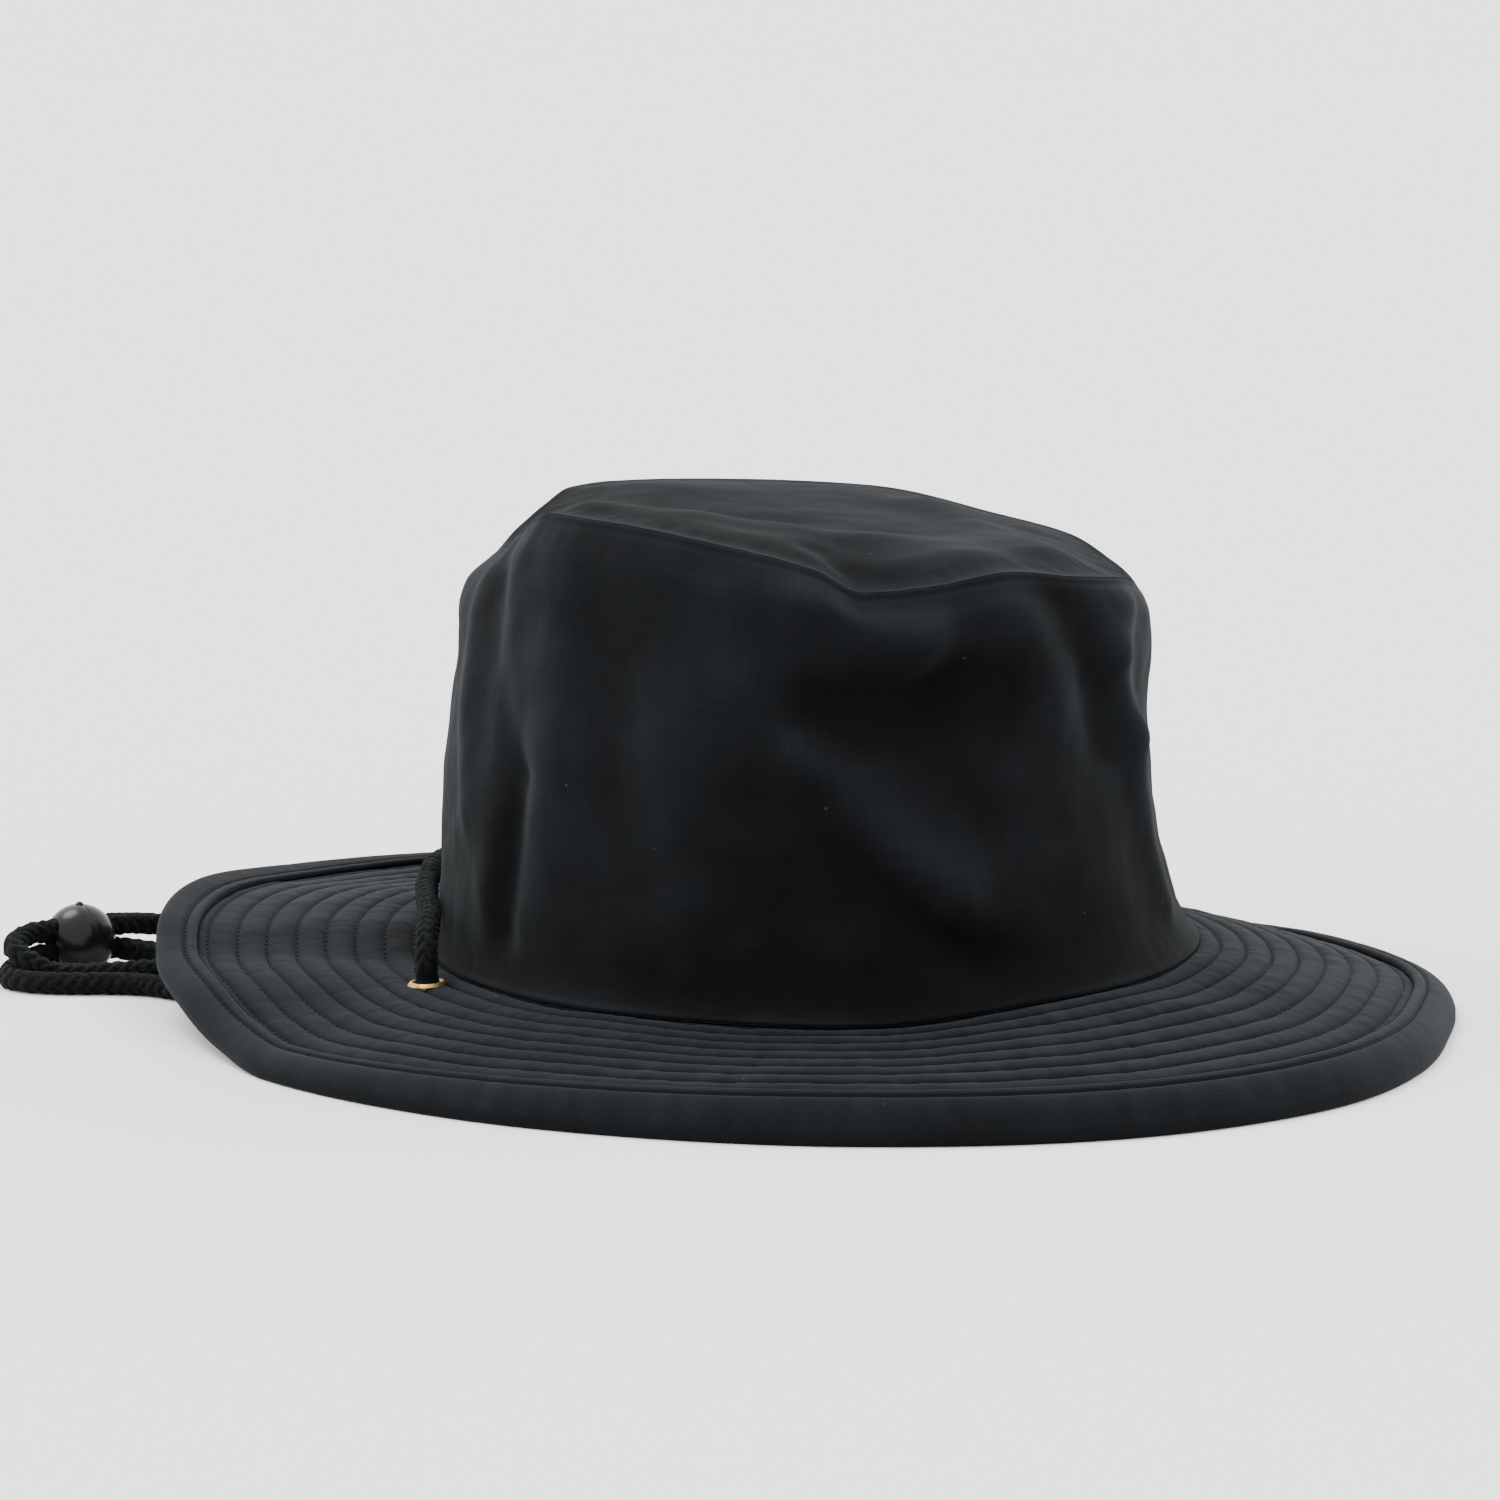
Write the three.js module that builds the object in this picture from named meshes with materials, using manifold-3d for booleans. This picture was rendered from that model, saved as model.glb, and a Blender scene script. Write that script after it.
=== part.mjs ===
import * as THREE from 'three';
import * as BufferGeometryUtils from 'three/addons/utils/BufferGeometryUtils.js';
import Module from 'manifold-3d';

const wasm = await Module();
wasm.setup();

// A cotton bush hat lying on a flat surface, z = 0. Front is -Y, sizes in millimetres.
// Angles are in degrees round the hat: 0 at its left side +X, 90 at the back, 270 at the front.

// Crown
const headHalfWidth = 85;
const headHalfLength = 100;
const headShiftX = 2.5;
const headShiftY = -1.5;
const seamHeight = 19;
const tipHalfWidth = 70;
const tipHalfLength = 83;
const crownHeight = 120;
const crownWall = 1.6;
const tipWall = 1.6;
const tipSeamRise = 1.1;
const tipSeamWidth = 4;
const tipMiddleShare = 0.955;
const tipRidgeShare = 0.7;
const tipSlopeX = -0.05;
const tipSlopeY = 0.05;
const crownFoldDepth = 5;
const crownFoldWidth = 10;
const wallFoldsStart = 0.12;
const wallFoldsEnd = 0.93;
const tipFoldDepth = 2.5;
const tipFoldWidth = 10;
const tipFoldsEnd = 0.85;

// Brim
const rimHalfWidth = 147;
const rimHalfLength = 162;
const rimLift = 18.8;
const brimWall = 2.4;
const brimBow = 0.35;
const stitchRows = 8;
const firstRowOffset = 5.2;
const lastRowOffset = 2.6;
const puffHeight = 0.45;

// Binding round the rim
const bindingWidth = 9.2;
const bindingWall = 0.9;
const bindingDroop = 5;
const bindingLip = 0.4;
const bindingGrip = 0.74;
const bindingFloor = 2.4;

// Eyelets for the chin cord
const eyeletBore = 5.8;
const eyeletWall = 0.5;
const eyeletFlange = 9;
const eyeletFlangeThickness = 0.7;
const eyeletOffset = 9.4;
const eyeletAngle = 177;

// Chin cord and its toggle
const cordDiameter = 5;
const toggleDiameter = 17;
const toggleSlotWidth = 5.8;
const toggleSlotHeight = 11.2;
const toggleHeading = 189;
const toggleX = -136.7;
const toggleY = 113.5;
const toggleNubRadius = 1.1;
const toggleNubRise = 0.5;

// Clearances between neighbours
const clearance = 0.3;
const floorClearance = 0.1;

// Resolution round the hat
const roundSteps = 60;

// Rim: reach as a share of the rim's oval, lift of its underside as a share of rimLift, and how far the
// binding droops from the stitched brim as a share of bindingDroop; below zero it turns up.
const rimRows = [
  { angle: 0, reach: 1.01, lift: 0, droop: 0.25 },
  { angle: 15, reach: 0.97, lift: 0, droop: 0.1 },
  { angle: 32, reach: 0.955, lift: 0, droop: 0.1 },
  { angle: 52, reach: 0.965, lift: 0.09, droop: 0.1 },
  { angle: 75, reach: 0.98, lift: 0.37, droop: 0.1 },
  { angle: 98, reach: 0.99, lift: 0.62, droop: -0.2 },
  { angle: 118, reach: 1, lift: 0.79, droop: -0.55 },
  { angle: 139, reach: 1, lift: 1, droop: -0.75 },
  { angle: 151, reach: 1, lift: 0.91, droop: -0.6 },
  { angle: 161, reach: 1, lift: 0.6, droop: -0.25 },
  { angle: 171, reach: 0.99, lift: 0.38, droop: 0.05 },
  { angle: 180, reach: 0.985, lift: 0.12, droop: 0.15 },
  { angle: 190, reach: 0.995, lift: 0, droop: 0.25 },
  { angle: 205, reach: 0.99, lift: 0, droop: 0.5 },
  { angle: 225, reach: 0.983, lift: 0, droop: 0.8 },
  { angle: 247, reach: 0.992, lift: 0, droop: 1 },
  { angle: 270, reach: 1.012, lift: 0, droop: 1 },
  { angle: 290, reach: 1.017, lift: 0, droop: 1 },
  { angle: 305, reach: 1.002, lift: 0, droop: 0.9 },
  { angle: 319, reach: 0.99, lift: 0, droop: 0.8 },
  { angle: 342, reach: 1.015, lift: 0, droop: 0.5 },
];

// Seam between crown and brim: height as a share of seamHeight.
const seamRows = [
  { angle: 0, height: 0.96 },
  { angle: 40, height: 0.82 },
  { angle: 90, height: 0.66 },
  { angle: 104, height: 0.74 },
  { angle: 118, height: 0.86 },
  { angle: 132, height: 0.94 },
  { angle: 147, height: 0.9 },
  { angle: 162, height: 0.62 },
  { angle: 190, height: 0.63 },
  { angle: 225, height: 0.67 },
  { angle: 247, height: 0.69 },
  { angle: 274, height: 0.88 },
  { angle: 297, height: 0.94 },
  { angle: 325, height: 1 },
];

// Seam between crown wall and tip: reach as a share of the tip's oval, height as a share of crownHeight.
const tipRows = [
  { angle: 0, reach: 1.03, height: 0.892 },
  { angle: 20, reach: 1.01, height: 0.918 },
  { angle: 45, reach: 1, height: 0.958 },
  { angle: 75, reach: 1, height: 0.968 },
  { angle: 100, reach: 0.99, height: 0.972 },
  { angle: 111, reach: 0.98, height: 0.967 },
  { angle: 120, reach: 0.97, height: 0.94 },
  { angle: 131, reach: 0.965, height: 0.909 },
  { angle: 145, reach: 0.96, height: 0.888 },
  { angle: 162, reach: 0.95, height: 0.9 },
  { angle: 176, reach: 0.96, height: 0.952 },
  { angle: 189, reach: 1, height: 0.991 },
  { angle: 205, reach: 1.01, height: 0.986 },
  { angle: 228, reach: 1, height: 0.952 },
  { angle: 242, reach: 1, height: 0.916 },
  { angle: 250, reach: 0.99, height: 0.876 },
  { angle: 262, reach: 1.01, height: 0.886 },
  { angle: 277, reach: 1.02, height: 0.906 },
  { angle: 292, reach: 1.03, height: 0.888 },
  { angle: 309, reach: 1.045, height: 0.87 },
  { angle: 328, reach: 1.05, height: 0.838 },
  { angle: 345, reach: 1.04, height: 0.858 },
];

// Crown wall from the brim seam, rise 0, to the tip seam, rise 1: reach between the tip's oval, 0, and
// the head's oval, 1; shift as a share of the head's offset; grip of the tip's own reach.
const wallRows = [
  { rise: 0, reach: 1, shift: 1, grip: 0 },
  { rise: 0.05, reach: 0.88, shift: 0.8, grip: 0 },
  { rise: 0.12, reach: 0.79, shift: 0.3, grip: 0 },
  { rise: 0.38, reach: 0.6, shift: -0.35, grip: 0 },
  { rise: 0.65, reach: 0.44, shift: -0.4, grip: 0.1 },
  { rise: 0.82, reach: 0.38, shift: 0, grip: 0.3 },
  { rise: 0.91, reach: 0.28, shift: 0, grip: 0.55 },
  { rise: 0.97, reach: 0.1, shift: 0, grip: 0.9 },
  { rise: 1, reach: 0, shift: 0, grip: 1 },
];

// Folds of the crown wall, each along a line between two places given by angle and rise: depth as a
// share of crownFoldDepth, inward below zero, width as a share of crownFoldWidth.
const wallFolds = [
  { fold: 'dent below seam', from: [243, 0.7], to: [261, 0.75], width: 0.9, depth: -1.35 },
  { fold: 'dent, right end', from: [262, 0.75], to: [274, 0.72], width: 1, depth: -0.5 },
  { fold: 'ridge above dent', from: [240, 0.97], to: [260, 0.88], width: 0.7, depth: 0.9 },
  { fold: 'long band', from: [241, 0.61], to: [263, 0.27], width: 0.75, depth: 0.9 },
  { fold: 'groove under band', from: [245, 0.5], to: [265.5, 0.1], width: 0.75, depth: -0.8 },
  { fold: 'small dent', from: [266, 0.49], to: [271, 0.41], width: 0.8, depth: -0.45 },
  { fold: 'right shoulder', from: [272, 0.95], to: [284, 0.7], width: 0.9, depth: 0.45 },
  { fold: 'hollow by corner', from: [287, 0.95], to: [297, 0.6], width: 0.9, depth: -0.5 },
  { fold: 'right corner', from: [306, 0.96], to: [299, 0.82], width: 0.7, depth: 0.5 },
  { fold: 'right corner, middle', from: [299, 0.82], to: [307, 0.6], width: 0.7, depth: 0.5 },
  { fold: 'right corner foot', from: [307, 0.6], to: [313, 0.15], width: 0.7, depth: 0.45 },
  { fold: 'left crease', from: [178, 0.85], to: [189, 0.5], width: 0.6, depth: -0.25 },
  { fold: 'left crease foot', from: [191, 0.45], to: [187, 0.13], width: 0.5, depth: -0.45 },
  { fold: 'left rib', from: [186, 0.9], to: [182, 0.2], width: 0.7, depth: 0.25 },
  { fold: 'left edge', from: [168, 0.9], to: [175, 0.4], width: 0.8, depth: 0.45 },
  { fold: 'left bulge', from: [158, 0.86], to: [150, 0.9], width: 1.1, depth: 0.45 },
  { fold: 'left front', from: [196, 0.9], to: [199, 0.35], width: 0.9, depth: 0.35 },
  { fold: 'front left hollow', from: [205, 0.75], to: [214, 0.3], width: 1.1, depth: -0.35 },
  { fold: 'front left swell', from: [222, 0.8], to: [218, 0.25], width: 1.2, depth: 0.3 },
  { fold: 'back hollow', from: [84, 0.6], to: [104, 0.42], width: 1.3, depth: -0.6 },
  { fold: 'back ridge', from: [62, 0.85], to: [74, 0.3], width: 0.9, depth: 0.4 },
  { fold: 'far side hollow', from: [22, 0.75], to: [36, 0.5], width: 1.2, depth: -0.6 },
  { fold: 'far side ridge', from: [4, 0.9], to: [10, 0.35], width: 0.9, depth: 0.4 },
];

// Folds of the tip, in plan, each along a line between two places given as shares of the tip's half
// width and half length: depth of tipFoldDepth, up above zero, width of tipFoldWidth.
const tipFolds = [
  { fold: 'left corner', from: [-0.88, 0.05], to: [-0.62, -0.35], width: 0.9, depth: 0.7 },
  { fold: 'front patch', from: [-0.5, -0.3], to: [-0.1, -0.55], width: 1, depth: 0.6 },
  { fold: 'hollow behind patch', from: [-0.45, 0.1], to: [0.15, -0.3], width: 1.2, depth: -0.7 },
  { fold: 'hook crease', from: [-0.36, -0.7], to: [-0.28, -0.93], width: 0.5, depth: -0.6 },
  { fold: 'right facet', from: [0.45, -0.72], to: [0.62, 0.2], width: 0.9, depth: 0.7 },
  { fold: 'back dome', from: [-0.1, 0.5], to: [0.4, 0.45], width: 2, depth: 0.8 },
];

// The chin cord's routes, chosen points along its centreline.
const cordBackRoute = [
  [-91.8, 4.4, 10.5], [-92, 4.6, 15.5], [-90.6, 8, 19.8], [-87, 15.4, 22.8], [-82.2, 26.2, 24.6],
  [-78.1, 37.6, 26], [-72.9, 49.5, 27.6], [-65.7, 62, 29], [-56.6, 73.2, 29], [-45.4, 84.2, 27.2],
  [-31.6, 93.2, 23.6], [-16.8, 99.2, 19.4], [-1.6, 102.4, 15.9], [13.4, 102, 15.8], [28, 98.4, 16.2],
  [42.4, 91.6, 16.7], [56, 82, 17.3], [68.2, 69.6, 18], [78.6, 55.4, 18.7], [86.4, 40, 19.7],
  [91.6, 26, 21.7], [95.2, 14.6, 24], [97.1, 8, 23.6], [97.8, 4.8, 20.2], [96.96, 4.5, 16.1],
];
const cordNearRoute = [
  [-91.8, 4.4, 10.2], [-91.6, 4.6, 6.2], [-92.6, 9.2, 3.2], [-94.6, 19, 2.7], [-97, 33, 2.7],
  [-98.4, 46, 2.7], [-100, 59, 2.7], [-102.2, 72, 2.7], [-105.6, 84.6, 2.9], [-111, 96, 3.4],
  [-117.6, 105.6, 4.4], [-123.4, 111.6, 5.2], [-128.8, 114.6, 5.7], [-136.7, 113.5, 5.8],
  [-145.2, 112.2, 5.8],
];
const cordFarRoute = [
  [96.9, 4.5, 15.8], [95.9, 4.6, 11.2], [96.4, 7.8, 6.4], [98.8, 15.2, 3.2], [101.8, 29, 2.7],
  [99.8, 43, 2.7], [95.4, 57, 2.7], [88.8, 70, 2.7], [80.2, 82, 2.7], [69.8, 92.6, 2.7],
  [57.8, 101.6, 2.7], [44.6, 108.8, 2.7], [30.6, 114.2, 2.7], [16, 117.6, 2.7], [1, 119.2, 2.7],
  [-14, 119.4, 2.7], [-29, 118.8, 2.7], [-44, 118, 2.8], [-59, 117.6, 3], [-74, 118, 3.6],
  [-88.8, 119.2, 5], [-102.6, 120, 7.2], [-115.4, 119, 9.8], [-123, 116.8, 11], [-128.8, 114.8, 11.3],
  [-136.7, 113.5, 11.4], [-145.2, 112.2, 11.4],
];
const cordBightRoute = [
  [-145.5, 112.15, 11.4], [-148.2, 111.75, 11.3], [-152, 110.2, 10.8], [-155, 107.2, 9.8],
  [-156, 103.4, 8.5], [-154.2, 99.8, 6.8], [-149.8, 96.3, 4.2], [-143.6, 93.4, 3.7],
  [-134.8, 88.6, 4.4], [-126.2, 82.8, 5], [-117.6, 77.8, 4.1], [-111.2, 72.4, 3],
  [-108.6, 65.2, 2.7], [-109.4, 58.2, 2.7], [-115.1, 53.5, 2.7], [-121.7, 55.5, 2.7],
  [-125, 62, 2.7], [-127.6, 70.6, 2.7], [-131.8, 78.4, 2.7], [-137.6, 83.8, 2.7],
  [-145.4, 87.6, 2.7], [-152, 91.4, 2.7], [-156.6, 96.6, 2.7], [-158, 102.4, 2.7],
  [-156.4, 107.6, 2.9], [-152.6, 110.8, 3.9], [-148.4, 111.8, 5.4], [-145.5, 112.15, 5.8],
];

// Value of one column at a place between rows, without overshoot; a period makes the rows go round.
function tableValue(rows, placeKey, valueKey, place, period) {
  const last = rows.length - 1;
  const rowPlace = (i) => (period ? rows[(i + rows.length) % rows.length][placeKey]
    + period * Math.floor(i / rows.length) : rows[Math.min(Math.max(i, 0), last)][placeKey]);
  const rowValue = (i) => (period ? rows[(i + rows.length) % rows.length][valueKey]
    : rows[Math.min(Math.max(i, 0), last)][valueKey]);
  const slope = (i) => (rowValue(i + 1) - rowValue(i)) / Math.max(rowPlace(i + 1) - rowPlace(i), 1e-9);
  const tangent = (i) => {
    const before = slope(i - 1);
    const after = slope(i);
    return before * after > 0 ? (2 * before * after) / (before + after) : 0;
  };
  const at = period ? ((place % period) + period) % period : place;
  let i = 0;
  while (i < (period ? last : last - 1) && rowPlace(i + 1) <= at) i += 1;
  const span = rowPlace(i + 1) - rowPlace(i);
  const t = (at - rowPlace(i)) / span;
  const rest = 1 - t;
  return rowValue(i) * (1 + 2 * t) * rest * rest + rowValue(i + 1) * t * t * (3 - 2 * t)
    + span * (tangent(i) * t * rest * rest - tangent(i + 1) * t * t * rest);
}

const roundValue = (rows, key, angle) => tableValue(rows, 'angle', key, angle, 360);
const radians = (degrees) => (degrees * Math.PI) / 180;
const mix = (a, b, share) => a + (b - a) * share;

function ovalPoint(angle, halfWidth, halfLength, shiftX, shiftY) {
  return new THREE.Vector2(shiftX + halfWidth * Math.cos(radians(angle)),
    shiftY + halfLength * Math.sin(radians(angle)));
}

// How much a fold along a line from a to b raises point p: 1 on the line, fading with distance.
function foldShare(p, a, b, width) {
  const along = b.clone().sub(a);
  const t = THREE.MathUtils.clamp(p.clone().sub(a).dot(along) / along.lengthSq(), 0, 1);
  const distance = p.distanceTo(a.clone().addScaledVector(along, t));
  return Math.exp(-((distance / width) ** 2));
}

// Crown: outer surface of the wall, at an angle and a rise from 0 at the brim to 1 at the tip seam.
const seamZ = (angle) => seamHeight * roundValue(seamRows, 'height', angle);
const tipSeamZ = (angle) => crownHeight * roundValue(tipRows, 'height', angle);
const seamPoint = (angle) => ovalPoint(angle, headHalfWidth, headHalfLength, headShiftX, headShiftY);

// Unrolled place of a wall point, in millimetres, for measuring distances to folds.
function unrolled(angle, rise) {
  const meanRadius = (headHalfWidth + headHalfLength) / 2;
  return new THREE.Vector2(radians(angle) * meanRadius, rise * (crownHeight - seamHeight));
}

function wallFoldDepth(angle, rise) {
  let depth = 0;
  for (const row of wallFolds) {
    const middle = (row.from[0] + row.to[0]) / 2;
    const nearest = middle + THREE.MathUtils.euclideanModulo(angle - middle + 180, 360) - 180;
    const place = unrolled(nearest, rise);
    const from = unrolled(...row.from);
    const to = unrolled(...row.to);
    depth += row.depth * foldShare(place, from, to, row.width * crownFoldWidth);
  }
  const fadeAtFoot = THREE.MathUtils.smoothstep(rise, 0, wallFoldsStart);
  const fadeAtTip = 1 - THREE.MathUtils.smoothstep(rise, wallFoldsEnd, 1);
  return depth * crownFoldDepth * fadeAtFoot * fadeAtTip;
}

function wallPoint(angle, rise, inward) {
  const reach = tableValue(wallRows, 'rise', 'reach', rise);
  const shift = tableValue(wallRows, 'rise', 'shift', rise);
  const grip = tableValue(wallRows, 'rise', 'grip', rise);
  const ownReach = mix(1, roundValue(tipRows, 'reach', angle), grip);
  const centre = new THREE.Vector2(headShiftX * shift, headShiftY * shift);
  const outline = ovalPoint(angle, mix(tipHalfWidth, headHalfWidth, reach) * ownReach,
    mix(tipHalfLength, headHalfLength, reach) * ownReach, centre.x, centre.y);
  const outward = outline.clone().sub(centre).normalize();
  outline.addScaledVector(outward, wallFoldDepth(angle, rise) - inward);
  return new THREE.Vector3(outline.x, outline.y, mix(seamZ(angle), tipSeamZ(angle), rise));
}

// Tip: upper surface, at an angle and a share from 0 in the middle to 1 at its seam.
const tipEdgeInset = crownWall + clearance;
const tipPlaneZ = (plan) => crownHeight * tipMiddleShare + tipSlopeX * plan.x + tipSlopeY * plan.y;

function tipFoldHeight(point) {
  let height = 0;
  for (const row of tipFolds) {
    const [from, to] = [row.from, row.to].map(
      ([x, y]) => new THREE.Vector2(x * tipHalfWidth, y * tipHalfLength));
    height += row.depth * foldShare(point, from, to, row.width * tipFoldWidth);
  }
  return height * tipFoldDepth;
}

function tipPoint(angle, share, downward) {
  const edge = wallPoint(angle, 1, tipEdgeInset);
  const plan = new THREE.Vector2(edge.x, edge.y).multiplyScalar(share);
  const fromEdge = (1 - share) * (tipHalfWidth + tipHalfLength) / 2;
  const ridge = tipRidgeShare * tipSeamRise * (1 - THREE.MathUtils.smoothstep(fromEdge, 0, tipSeamWidth));
  const fadeAtSeam = 1 - THREE.MathUtils.smoothstep(share, tipFoldsEnd, 1);
  const offPlane = edge.z - tipPlaneZ(new THREE.Vector2(edge.x, edge.y));
  const height = tipPlaneZ(plan) + offPlane * share ** 3 + ridge + tipFoldHeight(plan) * fadeAtSeam;
  return new THREE.Vector3(plan.x, plan.y, height - downward);
}

// Brim: upper surface, at an angle and a distance outward from the crown seam.
function rimPoint(angle) {
  const reach = roundValue(rimRows, 'reach', angle);
  return ovalPoint(angle, rimHalfWidth * reach, rimHalfLength * reach, 0, 0);
}

const bindingHalf = brimWall / 2 + clearance + bindingWall;
const rimUndersideZ = (angle) => rimLift * roundValue(rimRows, 'lift', angle);
const droopAt = (angle) => bindingDroop * roundValue(rimRows, 'droop', angle);
const brimWidthAt = (angle) => rimPoint(angle).distanceTo(seamPoint(angle));
const stitchedWidthAt = (angle) => brimWidthAt(angle) - bindingWidth;

// Middle of the cloth inside the binding: share 0 at the stitched edge, 1 at the rim.
function bindingMiddleZ(angle, share) {
  return rimUndersideZ(angle) + bindingHalf + droopAt(angle) * (1 - share * share);
}

function brimPlan(angle, distance) {
  const inner = seamPoint(angle);
  const outward = rimPoint(angle).sub(inner).normalize();
  return inner.addScaledVector(outward, distance);
}

function brimMiddleZ(angle, distance) {
  const stitched = stitchedWidthAt(angle);
  const share = Math.max(distance, 0) / stitched;
  if (share > 1) return bindingMiddleZ(angle, (distance - stitched) / bindingWidth);
  const edge = bindingMiddleZ(angle, 0);
  return mix(seamZ(angle) - clearance - brimWall / 2, edge, mix(share, share * share, brimBow));
}

const rowDistance = (angle, row) => mix(firstRowOffset, stitchedWidthAt(angle) - lastRowOffset,
  row / (stitchRows - 1));

function onBrim(angle, distance, above) {
  const plan = brimPlan(angle, distance);
  return new THREE.Vector3(plan.x, plan.y, brimMiddleZ(angle, distance) + above);
}

// Closed solid from rings of points: ring after ring round the section, each ring going round the hat.
function solidFromRings(rings, closedSection) {
  const count = rings[0].length;
  const positions = rings.flat().flatMap((p) => [p.x, p.y, p.z]);
  const indices = [];
  const ringCount = closedSection ? rings.length : rings.length - 1;
  for (let i = 0; i < ringCount; i += 1) {
    const next = (i + 1) % rings.length;
    for (let j = 0; j < count; j += 1) {
      const right = (j + 1) % count;
      const a = i * count + j;
      const b = i * count + right;
      const c = next * count + right;
      const d = next * count + j;
      indices.push(a, b, c, a, c, d);
    }
  }
  const geometry = new THREE.BufferGeometry();
  geometry.setAttribute('position', new THREE.Float32BufferAttribute(positions, 3));
  geometry.setIndex(indices);
  return facingOut(geometry);
}

function signedVolume(geometry) {
  const position = geometry.getAttribute('position');
  const index = geometry.getIndex();
  const corners = [new THREE.Vector3(), new THREE.Vector3(), new THREE.Vector3()];
  let volume = 0;
  for (let i = 0; i < index.count; i += 3) {
    corners.forEach((corner, k) => corner.fromBufferAttribute(position, index.getX(i + k)));
    volume += corners[0].dot(corners[1].clone().cross(corners[2])) / 6;
  }
  return volume;
}

function facingOut(geometry) {
  if (signedVolume(geometry) < 0) {
    const index = geometry.getIndex();
    for (let i = 0; i < index.count; i += 3) {
      const swapped = index.getX(i + 1);
      index.setX(i + 1, index.getX(i + 2));
      index.setX(i + 2, swapped);
    }
  }
  geometry.computeVertexNormals();
  return geometry;
}

function toSolid(geometry) {
  const bare = geometry.clone();
  bare.deleteAttribute('normal');
  bare.deleteAttribute('uv');
  const merged = BufferGeometryUtils.mergeVertices(bare, 1e-4);
  return new wasm.Manifold(new wasm.Mesh({
    numProp: 3,
    vertProperties: new Float32Array(merged.getAttribute('position').array),
    triVerts: new Uint32Array(merged.getIndex().array),
  }));
}

function toGeometry(solid) {
  const mesh = solid.getMesh();
  const geometry = new THREE.BufferGeometry();
  geometry.setAttribute('position', new THREE.Float32BufferAttribute(mesh.vertProperties, 3));
  geometry.setIndex(Array.from(mesh.triVerts));
  geometry.computeVertexNormals();
  return geometry;
}

const ringOf = (pointAt) => Array.from({ length: roundSteps }, (_, i) => pointAt((360 * i) / roundSteps));

// Crown wall, from its foot on the brim up to the pinched seam round the tip, then down inside.
function crownSideGeometry() {
  const outerRises = [0, 0.05, 0.13, 0.25, 0.38, 0.5, 0.61, 0.71, 0.8, 0.88, 0.95, 1];
  const innerRises = [0.95, 0.85, 0.73, 0.6, 0.42, 0.18, 0];
  const lip = (inward) => ringOf((angle) => wallPoint(angle, 1, inward)
    .add(new THREE.Vector3(0, 0, tipSeamRise)));
  return solidFromRings([
    ...outerRises.map((rise) => ringOf((angle) => wallPoint(angle, rise, 0))),
    lip(crownWall * 0.25),
    lip(crownWall),
    ...innerRises.map((rise) => ringOf((angle) => wallPoint(angle, rise, crownWall))),
  ], true);
}

// Tip panel, with its edge standing inside the crown wall's top.
function crownTipGeometry() {
  const upperShares = [0.2, 0.42, 0.64, 0.84, 0.95, 1];
  const lowerShares = [1, 0.84, 0.42];
  const middle = (downward) => ringOf((angle) => tipPoint(angle, 0, downward));
  return toGeometry(toSolid(solidFromRings([
    middle(0),
    ...upperShares.map((share) => ringOf((angle) => tipPoint(angle, share, 0))),
    ...lowerShares.map((share) => ringOf((angle) => tipPoint(angle, share, tipWall))),
    middle(tipWall),
  ], false)));
}

// Quilted brim: a valley at each stitched row and a low puff between rows, its edge inside the binding.
function brimGeometry() {
  const top = [ringOf((angle) => onBrim(angle, -crownWall, brimWall / 2)),
    ringOf((angle) => onBrim(angle, 0, brimWall / 2))];
  for (let row = 0; row < stitchRows; row += 1) {
    const before = (angle) => (row === 0 ? 0 : rowDistance(angle, row - 1));
    const crest = (angle) => (before(angle) + rowDistance(angle, row)) / 2;
    top.push(ringOf((angle) => onBrim(angle, crest(angle), brimWall / 2 + puffHeight)));
    top.push(ringOf((angle) => onBrim(angle, rowDistance(angle, row), brimWall / 2)));
  }
  const grip = (angle) => stitchedWidthAt(angle) + bindingWidth * bindingGrip;
  const under = [0.66, 0.33, 0].map((share) => ringOf(
    (angle) => onBrim(angle, stitchedWidthAt(angle) * share, -brimWall / 2)));
  const body = solidFromRings([
    ...top,
    ringOf((angle) => onBrim(angle, stitchedWidthAt(angle), brimWall / 2)),
    ringOf((angle) => onBrim(angle, grip(angle), brimWall / 2)),
    ringOf((angle) => onBrim(angle, grip(angle), -brimWall / 2)),
    ringOf((angle) => onBrim(angle, stitchedWidthAt(angle), -brimWall / 2)),
    ...under,
    ringOf((angle) => onBrim(angle, -crownWall, -brimWall / 2)),
  ], true);
  let solid = toSolid(body);
  for (const place of eyeletPlaces) {
    const hole = new THREE.CylinderGeometry(eyeletBarrelRadius + clearance, eyeletBarrelRadius + clearance,
      brimWall * 6, 14);
    hole.applyMatrix4(eyeletMatrix(place));
    solid = solid.subtract(toSolid(hole));
  }
  return toGeometry(solid);
}

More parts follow.
